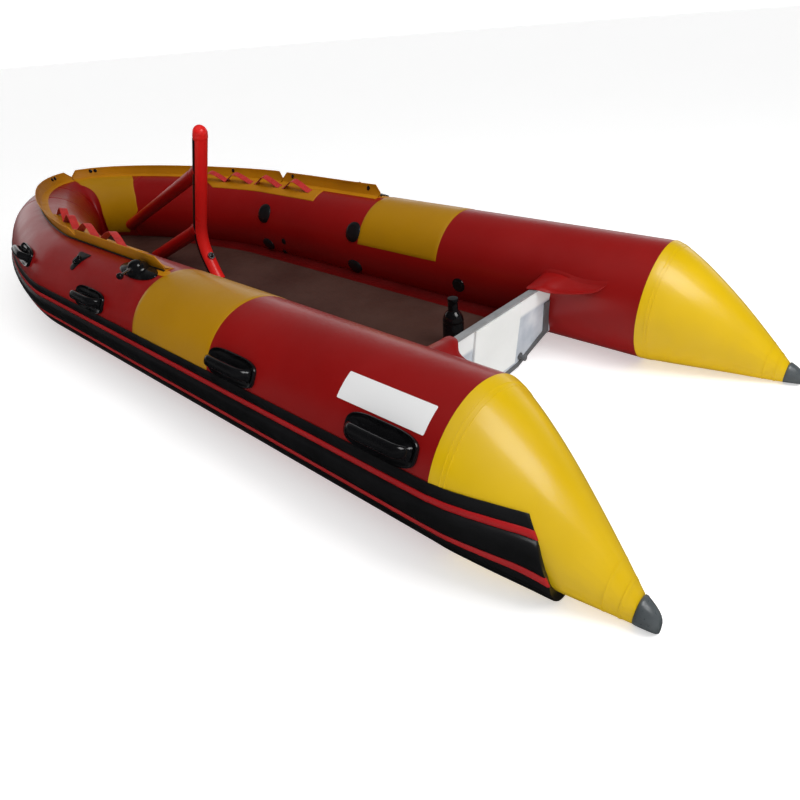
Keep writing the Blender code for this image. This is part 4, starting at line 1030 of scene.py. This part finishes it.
# Pads inside: station, angle, half length and half width; and two small round plugs
INNER_PADS = ((1.545, 152.5, 0.049, 0.0525), (1.540, 197.0, 0.049, 0.0370), (2.305, 152.5, 0.053, 0.0560),
              (2.293, 197.0, 0.049, 0.0370))
INNER_PLUGS = ((2.126, 186.0), (2.160, 205.0))


def make_inner_pads():
    """Half-moon pads and small plugs on the tubes' inner faces."""
    for word, side in SIDES:
        shape = Shape()
        for station, angle, half_length, half_width in INNER_PADS:
            pad(shape, side, station, angle, oval(half_length, half_width, 2.2, 44),
                [(0, 1, -0.002), (0, 1, 0.003), (0.002, 1, 0.006), (0.008, 1, 0.0085), (0.014, 1, 0.0118),
                 (0.017, 1, 0.0128), (0.017, 0.7, 0.0130), (0.017, 0.4, 0.0130), (0.017, 0.15, 0.0130)])
        for station, angle in INNER_PLUGS:
            turned(shape, hull_point(side, station, angle, -0.001), outward(side, station, angle),
                   [(0, 0.0170), (0.004, 0.0170), (0.0058, 0.0150), (0.0062, 0.0080), (0.0052, 0.0060)], 24)
        shape.piece("lashing_pads_" + word, RUBBER)


VALVE_STATION = 0.840
VALVE_ANGLE = 187.0


def make_valves():
    """Round air valves with their caps on the tubes' inner faces."""
    for word, side in SIDES:
        shape = Shape()
        base = hull_point(side, VALVE_STATION, VALVE_ANGLE, -0.002)
        turned(shape, base, outward(side, VALVE_STATION, VALVE_ANGLE),
               [(0, 0.034), (0.0035, 0.0345), (0.0055, 0.0335), (0.0065, 0.029), (0.006, 0.0265),
                (0.0085, 0.0250), (0.0105, 0.0235), (0.0115, 0.0170), (0.0105, 0.0145), (0.0105, 0.004)], 48)
        shape.piece("air_valve_cap_" + word, MOULDED, ["air_valve_" + word])


STICKER_STATION, STICKER_ANGLE = 0.2065, 51.0
STICKER_HALF, STICKER_TALL = 0.1565, 0.042


def make_sticker():
    """A blank white film on the port tube, where the maker's sticker was."""
    corners = [(-STICKER_HALF, STICKER_TALL), (STICKER_HALF, STICKER_TALL), (STICKER_HALF, -STICKER_TALL),
               (-STICKER_HALF, -STICKER_TALL)]
    outline = rounded(corners, 0.004, 2)
    dense = []
    for a, b in zip(outline, outline[1:] + outline[:1]):
        steps = max(1, round(math.dist(a, b) / 0.012))
        dense += [(a[0] + (b[0] - a[0]) * i / steps, a[1] + (b[1] - a[1]) * i / steps) for i in range(steps)]
    film = [(0, 1, -0.002), (0, 1, 0.0005), (0.0005, 1, 0.0010)]
    film += [(0.0005, share, 0.0012) for share in (0.8, 0.55, 0.3, 0.1)]
    shape = Shape()
    pad(shape, -1, STICKER_STATION, STICKER_ANGLE, dense, film)
    shape.piece("blank_sticker", STICKER)


# The doubler inside each bow flap, with its ends' stations at its upper and lower rim, and its webbing loops
DOUBLER_ANGLES = (97.5, 122.0)
DOUBLER_AFT = (1.950, 1.940)
DOUBLER_FORE = (3.060, 2.880)
LOOP_STATIONS = (2.150, 2.425, 2.700, 2.915)
LOOP_ANGLE = 105.0
LOOP_HALF = 0.105
LOOP_RISE = 0.053
LOOP_FOOT = 0.016
LOOP_BASE = 0.0040
LOOP_SECTION = [(-0.019, -0.0011), (0.019, -0.0011), (0.0194, 0), (0.019, 0.0011), (-0.019, 0.0011),
                (-0.0194, 0)]


def loop_lift(share):
    """Height of a loop's strap: it leaves the doubler at a slant and turns over at a rounded peak."""
    rise = 1 - (share * share + 0.012)**0.62
    return 0.0042 + LOOP_RISE * max(rise, 0.0) / (1 - 0.012**0.62)


def make_patches():
    """The yellow doubler inside each bow flap, with its webbing loops."""
    low, high = DOUBLER_ANGLES
    for word, side in SIDES:
        rows = rows_between(low, high, lambda a: (through(list(zip((low, high), DOUBLER_AFT)), a),
                                                  through(list(zip((low, high), DOUBLER_FORE)), a)))
        glue_panels("strap_doubler_" + word, (side,), rows, 0.0030, FLAP_YELLOW,
                    ["strap_patch_" + word])
        shape = Shape()
        for number, station in enumerate(LOOP_STATIONS):
            out = outward(side, station, LOOP_ANGLE)
            lean = 0.35 * noise.noise(Vector((number * 1.7, side * 3.1, 0.5)))
            path = [hull_point(side, station - LOOP_HALF - LOOP_FOOT, LOOP_ANGLE, LOOP_BASE)]
            for i in range(25):
                share = -1 + i / 12
                peak = 1 - abs(share)
                path.append(hull_point(side, station + share * LOOP_HALF + lean * 0.03 * peak,
                                       LOOP_ANGLE + lean * 6 * peak, loop_lift(share)))
            path.append(hull_point(side, station + LOOP_HALF + LOOP_FOOT, LOOP_ANGLE, LOOP_BASE))
            sweep(shape, path, out, LOOP_SECTION)
        shape.piece("webbing_loops_" + word, WEBBING)


# The inflatable frame on the centreline

FRAME_X = -0.030
POST_R = 0.036
POST_KNEE = (2.318, 0.312)
POST_BEND_R = 0.243
POST_LEAN = math.radians(24.2)
POST_TOP = 0.880
BRACES = (("upper", 0.700, 0.033, (0.121, 3.467, 0.202)), ("lower", 0.381, 0.036, (FRAME_X, 2.870, 0.128)))
FRAME_VALVE_TURN = math.radians(-22)
TAPE_HALF = 0.42
TAPE_TURN = 0.25
FRAME_SIDES = 40


def knee_point(turn):
    """A point of the post's middle line on the bend at its knee. The turn is 0 where the post is upright."""
    y = POST_KNEE[0] - POST_BEND_R / math.cos(POST_LEAN) + POST_BEND_R * math.cos(turn)
    return Vector((FRAME_X, STERN_Y + y, POST_KNEE[1] + POST_BEND_R * math.sin(turn)))


def straight_point(height):
    """A point of the post's middle line on one of its two straights, at a height."""
    y = POST_KNEE[0] - abs(height - POST_KNEE[1]) * math.tan(POST_LEAN)
    return Vector((FRAME_X, STERN_Y + y, height))


def post_path():
    """The post's middle line from the deck to the start of its head, in even steps."""
    foot, head = straight_point(DECK_TOP - 0.012), straight_point(POST_TOP)
    bend = [knee_point(-POST_LEAN + 2 * POST_LEAN * i / 20) for i in range(21)]
    lower = [foot.lerp(bend[0], i / 5) for i in range(5)]
    return lower + bend + [bend[-1].lerp(head, i / 16) for i in range(1, 17)]


def across_path(path, i):
    """Two directions across a path at one of its points, the first of them towards starboard."""
    along = (path[min(i + 1, len(path) - 1)] - path[max(i - 1, 0)]).normalized()
    first = (Vector((1, 0, 0)) - along * along.x).normalized()
    return first, along.cross(first)


def fabric_tube(shape, path, radii, seed):
    """An inflated fabric tube along a path, not quite true."""
    rings = []
    for i, (point, radius) in enumerate(zip(path, radii)):
        first, second = across_path(path, i)
        ring = []
        for k in range(FRAME_SIDES):
            a = 2 * math.pi * k / FRAME_SIDES
            off = first * math.cos(a) + second * math.sin(a)
            size = radius + 0.0005 * noise.noise(off * 1.3 + Vector((seed, i * 0.35, 0)))
            ring.append(point + off * size)
        rings.append(ring)
    shape.tube(rings)


def frame_tape(shape, path, radius, middle, half, lift):
    """A tape along a tube of the frame, round its side at an angle from starboard."""
    outer, inner = [], []
    for i, point in enumerate(path):
        first, second = across_path(path, i)
        over, under = [], []
        for k in range(11):
            a = middle - half + 2 * half * k / 10
            off = first * math.cos(a) + second * math.sin(a)
            over.append(point + off * (radius + (lift if 0 < k < 10 else 0.0004)))
            under.append(point + off * (radius - 0.002))
        outer.append(over)
        inner.append(under)
    shape.shell(outer, inner)


def make_post():
    """The bent post: fabric tube with a domed head, its seams, and a black tape down either side."""
    path = post_path()
    up = (path[-1] - path[-2]).normalized()
    turns = [math.pi / 2 * i / 8 for i in range(1, 8)] + [1.52]
    dome = [path[-1] + up * POST_R * math.sin(a) for a in turns]
    flare = [0.0045 * math.exp(-max(p.z - DECK_TOP, 0.0) / 0.008) for p in path]
    radii = [POST_R + f for f in flare] + [POST_R * math.cos(a) for a in turns]
    shape = Shape()
    fabric_tube(shape, path + dome, radii, 1.0)
    seam = [path[-1].lerp(path[-1] - up * 0.03, t) for t in (0.0, 0.35, 0.7, 1.0)]
    fabric_tube(shape, seam, [POST_R - 0.001, POST_R + 0.0010, POST_R + 0.0010, POST_R - 0.001], 2.0)
    shape.piece("frame_post_tube", LIT_RED, ["frame_post"], sharp=60)
    shape = Shape()
    for middle in (TAPE_TURN, math.pi - TAPE_TURN):
        frame_tape(shape, path[1:-1], POST_R, middle, TAPE_HALF, 0.0013)
    shape.piece("frame_post_tapes", RUBBER)


def make_braces():
    """The two braces: straight fabric tubes with a lengthwise seam and a cuff where they are bonded on."""
    for word, height, radius, foot in BRACES:
        start, foot = straight_point(height), Vector(foot) + Vector((0, STERN_Y, 0))
        along = (foot - start).normalized()
        length = (foot - start).length + 0.03
        across = math.hypot(along.x, along.z * math.sin(POST_LEAN) - along.y * math.cos(POST_LEAN))
        leave = POST_R / max(across, 0.3)
        marks = sorted(set(spaced(0.0, length, 0.05) + spaced(leave - 0.006, leave + 0.07, 0.006)
                           + spaced(length - 0.11, length, 0.008)))
        radii = []
        for mark in marks:
            near = 0.0055 * math.exp(-max(mark - leave, 0.0) / 0.010)
            cuff = 0.0010 if leave < mark < leave + 0.045 or mark > length - 0.085 else 0.0
            radii.append(radius + near + cuff)
        shape = Shape()
        fabric_tube(shape, [start + along * mark for mark in marks], radii, 3.0 + height)
        inner = [start + along * mark for mark in spaced(leave + 0.05, length - 0.09, 0.05)]
        frame_tape(shape, inner, radius, 2.2, 0.30, 0.0010)
        shape.piece(f"frame_brace_{word}_tube", BRACE_RED, ["frame_brace_" + word],
                    sharp=60)


def make_frame():
    """The post, its braces and its valve."""
    make_post()
    make_braces()
    out = Vector((0, -math.cos(FRAME_VALVE_TURN), -math.sin(FRAME_VALVE_TURN)))
    base = knee_point(FRAME_VALVE_TURN) + out * (POST_R - 0.004)
    shape = Shape()
    turned(shape, base, out, [(0, 0.0200), (0.006, 0.0205), (0.0105, 0.0200), (0.0125, 0.0180),
                              (0.0125, 0.0140), (0.0105, 0.0125), (0.0100, 0.0040)], 40)
    turned(shape, base, out, [(0.0095, 0.0110), (0.0125, 0.0108), (0.0140, 0.0090), (0.0140, 0.0030)], 32,
           slot=1)
    shape.piece("frame_valve_ring", [STEEL, MOULDED], ["frame_valve"])


PUMP = [(0, 0.0425), (0.0015, 0.0440), (0.009, 0.0440), (0.011, 0.0425), (0.016, 0.0425), (0.018, 0.0438),
        (0.100, 0.0438), (0.102, 0.0425), (0.108, 0.0425), (0.110, 0.0438), (0.116, 0.0432), (0.128, 0.0395),
        (0.140, 0.0335), (0.149, 0.0262), (0.154, 0.0212), (0.160, 0.0204), (0.164, 0.0212), (0.168, 0.0204),
        (0.172, 0.0212), (0.176, 0.0204), (0.192, 0.0204), (0.195, 0.0222), (0.203, 0.0225), (0.207, 0.0212),
        (0.2075, 0.0080)]


def make_pump():
    """The dark hand pump that stands on the deck ahead of the transom."""
    low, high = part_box("hand_pump")
    shape = Shape()
    turned(shape, Vector(((low.x + high.x) / 2, (low.y + high.y) / 2, low.z)), UP, PUMP, 48)
    shape.piece("hand_pump_body", MOULDED, ["hand_pump"])


# Camera, floor and light

CAMERA_PLACE = (-1.7051, -2.5399, 1.2649)
CAMERA_YAW, CAMERA_PITCH, CAMERA_ROLL = -0.8079, 0.5689, -0.0798
LENS = 26.52
FLOOR_REACH = 90.0
WALL_REACH, WALL_HEIGHT = 80.0, 140.0
FLOOR_GLOW = 0.46
# Each wide lamp's name, strength, spread in degrees and the direction that it shines from
LAMPS = (("overhead", 1.62, 80, (-0.138, -0.104, 0.985)), ("fill", 0.75, 60, (-0.50, -0.84, 0.20)))
# The studio's brightness by the upward part of the direction looked in, mapped from -1..1 to 0..1
STUDIO = ((0.0, 0.05), (0.490, 0.05), (0.496, 1.0), (0.545, 1.0), (0.66, 0.16), (0.80, 0.10), (1.0, 0.10))
WALL_BEARING = (0.72, 0.69)
DIM_WALL = 0.09
KEY_PLACE = (0.5, -4.5, 3.8)
KEY_AIM = (-0.1, -1.7, 0.2)
KEY_SIZE = 2.4
KEY_POWER = 105.0


def make_camera():
    """The photo's camera: high over the port quarter, close, with a wide lens and a slight roll."""
    yaw, pitch, roll = CAMERA_YAW, CAMERA_PITCH, CAMERA_ROLL
    ahead = Vector((-math.sin(yaw) * math.cos(pitch), math.cos(yaw) * math.cos(pitch), -math.sin(pitch)))
    level = Vector((math.cos(yaw), math.sin(yaw), 0))
    above = level.cross(ahead)
    right = level * math.cos(roll) + above * math.sin(roll)
    up = above * math.cos(roll) - level * math.sin(roll)
    data = bpy.data.cameras.new("camera")
    data.lens = LENS
    data.sensor_width = 36
    camera = bpy.data.objects.new("camera", data)
    bpy.context.scene.collection.objects.link(camera)
    turn = Matrix((right, up, -ahead)).transposed().to_4x4()
    camera.matrix_world = Matrix.Translation(CAMERA_PLACE) @ turn
    bpy.context.scene.camera = camera


def make_stage():
    """A pale floor and backdrop, a studio with one bright wall, two wide lamps and a large key lamp."""
    scene = bpy.context.scene
    scene.view_settings.view_transform = "Standard"
    mesh = bpy.data.meshes.new("floor")
    reach = FLOOR_REACH
    mesh.from_pydata([(-reach, -reach, 0), (reach, -reach, 0), (reach, reach, 0), (-reach, reach, 0)], [],
                     [(0, 1, 2, 3)])
    pale = [(0.84, 0.84, 0.84), (0.86, 0.86, 0.86)]
    white = (1.0, 1.0, 1.0, 1.0)
    mesh.materials.append(look("pale_floor", pale, (0.8, 0.9), 0.5, [], Emission_Color=white,
                               Emission_Strength=FLOOR_GLOW))
    floor = bpy.data.objects.new("floor", mesh)
    scene.collection.objects.link(floor)
    floor.visible_glossy = False
    mesh = bpy.data.meshes.new("backdrop")
    low, high = [[Vector((WALL_REACH * math.cos(a), WALL_REACH * math.sin(a), z)) for a in
                  [2 * math.pi * i / 48 for i in range(48)]] for z in (-1.0, WALL_HEIGHT)]
    mesh.from_pydata(low + high, [], [(i, i + 48, (i + 1) % 48 + 48, (i + 1) % 48) for i in range(48)])
    mesh.materials.append(look("pale_backdrop", pale, (0.8, 0.9), 0.01, [], Emission_Color=white,
                               Emission_Strength=1.0))
    backdrop = bpy.data.objects.new("backdrop", mesh)
    scene.collection.objects.link(backdrop)
    backdrop.visible_glossy = False
    backdrop.visible_diffuse = False
    backdrop.visible_shadow = False
    world = bpy.data.worlds.new("studio")
    scene.world = world
    world.use_nodes = True
    nodes, links = world.node_tree.nodes, world.node_tree.links
    parts = nodes.new("ShaderNodeSeparateXYZ")
    place = nodes.new("ShaderNodeTexCoord").outputs["Generated"]
    links.new(place, parts.inputs["Vector"])
    ramp = nodes.new("ShaderNodeValToRGB")
    for index, (position, value) in enumerate(STUDIO):
        stops = ramp.color_ramp.elements
        stop = stops[index] if index < 2 else stops.new(position)
        stop.position = position
        stop.color = (value, value, value, 1)
    links.new(mapped(nodes, links, parts.outputs["Z"], -1.0, 1.0, 0.0, 1.0), ramp.inputs["Fac"])
    links.new(ramp.outputs["Color"], nodes["Background"].inputs["Color"])
    bearing = nodes.new("ShaderNodeVectorMath")
    bearing.operation = "DOT_PRODUCT"
    bearing.inputs[1].default_value = (*WALL_BEARING, 0.0)
    links.new(place, bearing.inputs[0])
    strength = mapped(nodes, links, bearing.outputs["Value"], 0.45, 0.75, DIM_WALL, 1.15)
    links.new(strength, nodes["Background"].inputs["Strength"])
    for name, strength, spread, source in LAMPS:
        data = bpy.data.lights.new(name, "SUN")
        data.energy = strength
        data.angle = math.radians(spread)
        lamp = bpy.data.objects.new(name, data)
        lamp.rotation_euler = Vector(source).to_track_quat("Z", "Y").to_euler()
        lamp.visible_glossy = False
        scene.collection.objects.link(lamp)
    data = bpy.data.lights.new("key", "AREA")
    data.energy = KEY_POWER
    data.size = KEY_SIZE
    key = bpy.data.objects.new("key", data)
    turn = (Vector(KEY_PLACE) - Vector(KEY_AIM)).to_track_quat("Z", "Y").to_matrix().to_4x4()
    key.matrix_world = Matrix.Translation(KEY_PLACE) @ turn
    scene.collection.objects.link(key)


make_stage()
make_camera()
make_tubes()
make_bands()
make_cones()
make_caps()
make_strakes()
make_deck()
make_bottom()
make_transom()
make_flaps()
make_handles()
make_oarlocks()
make_drings()
make_inner_pads()
make_valves()
make_sticker()
make_patches()
make_frame()
make_pump()

bpy.context.view_layer.update()
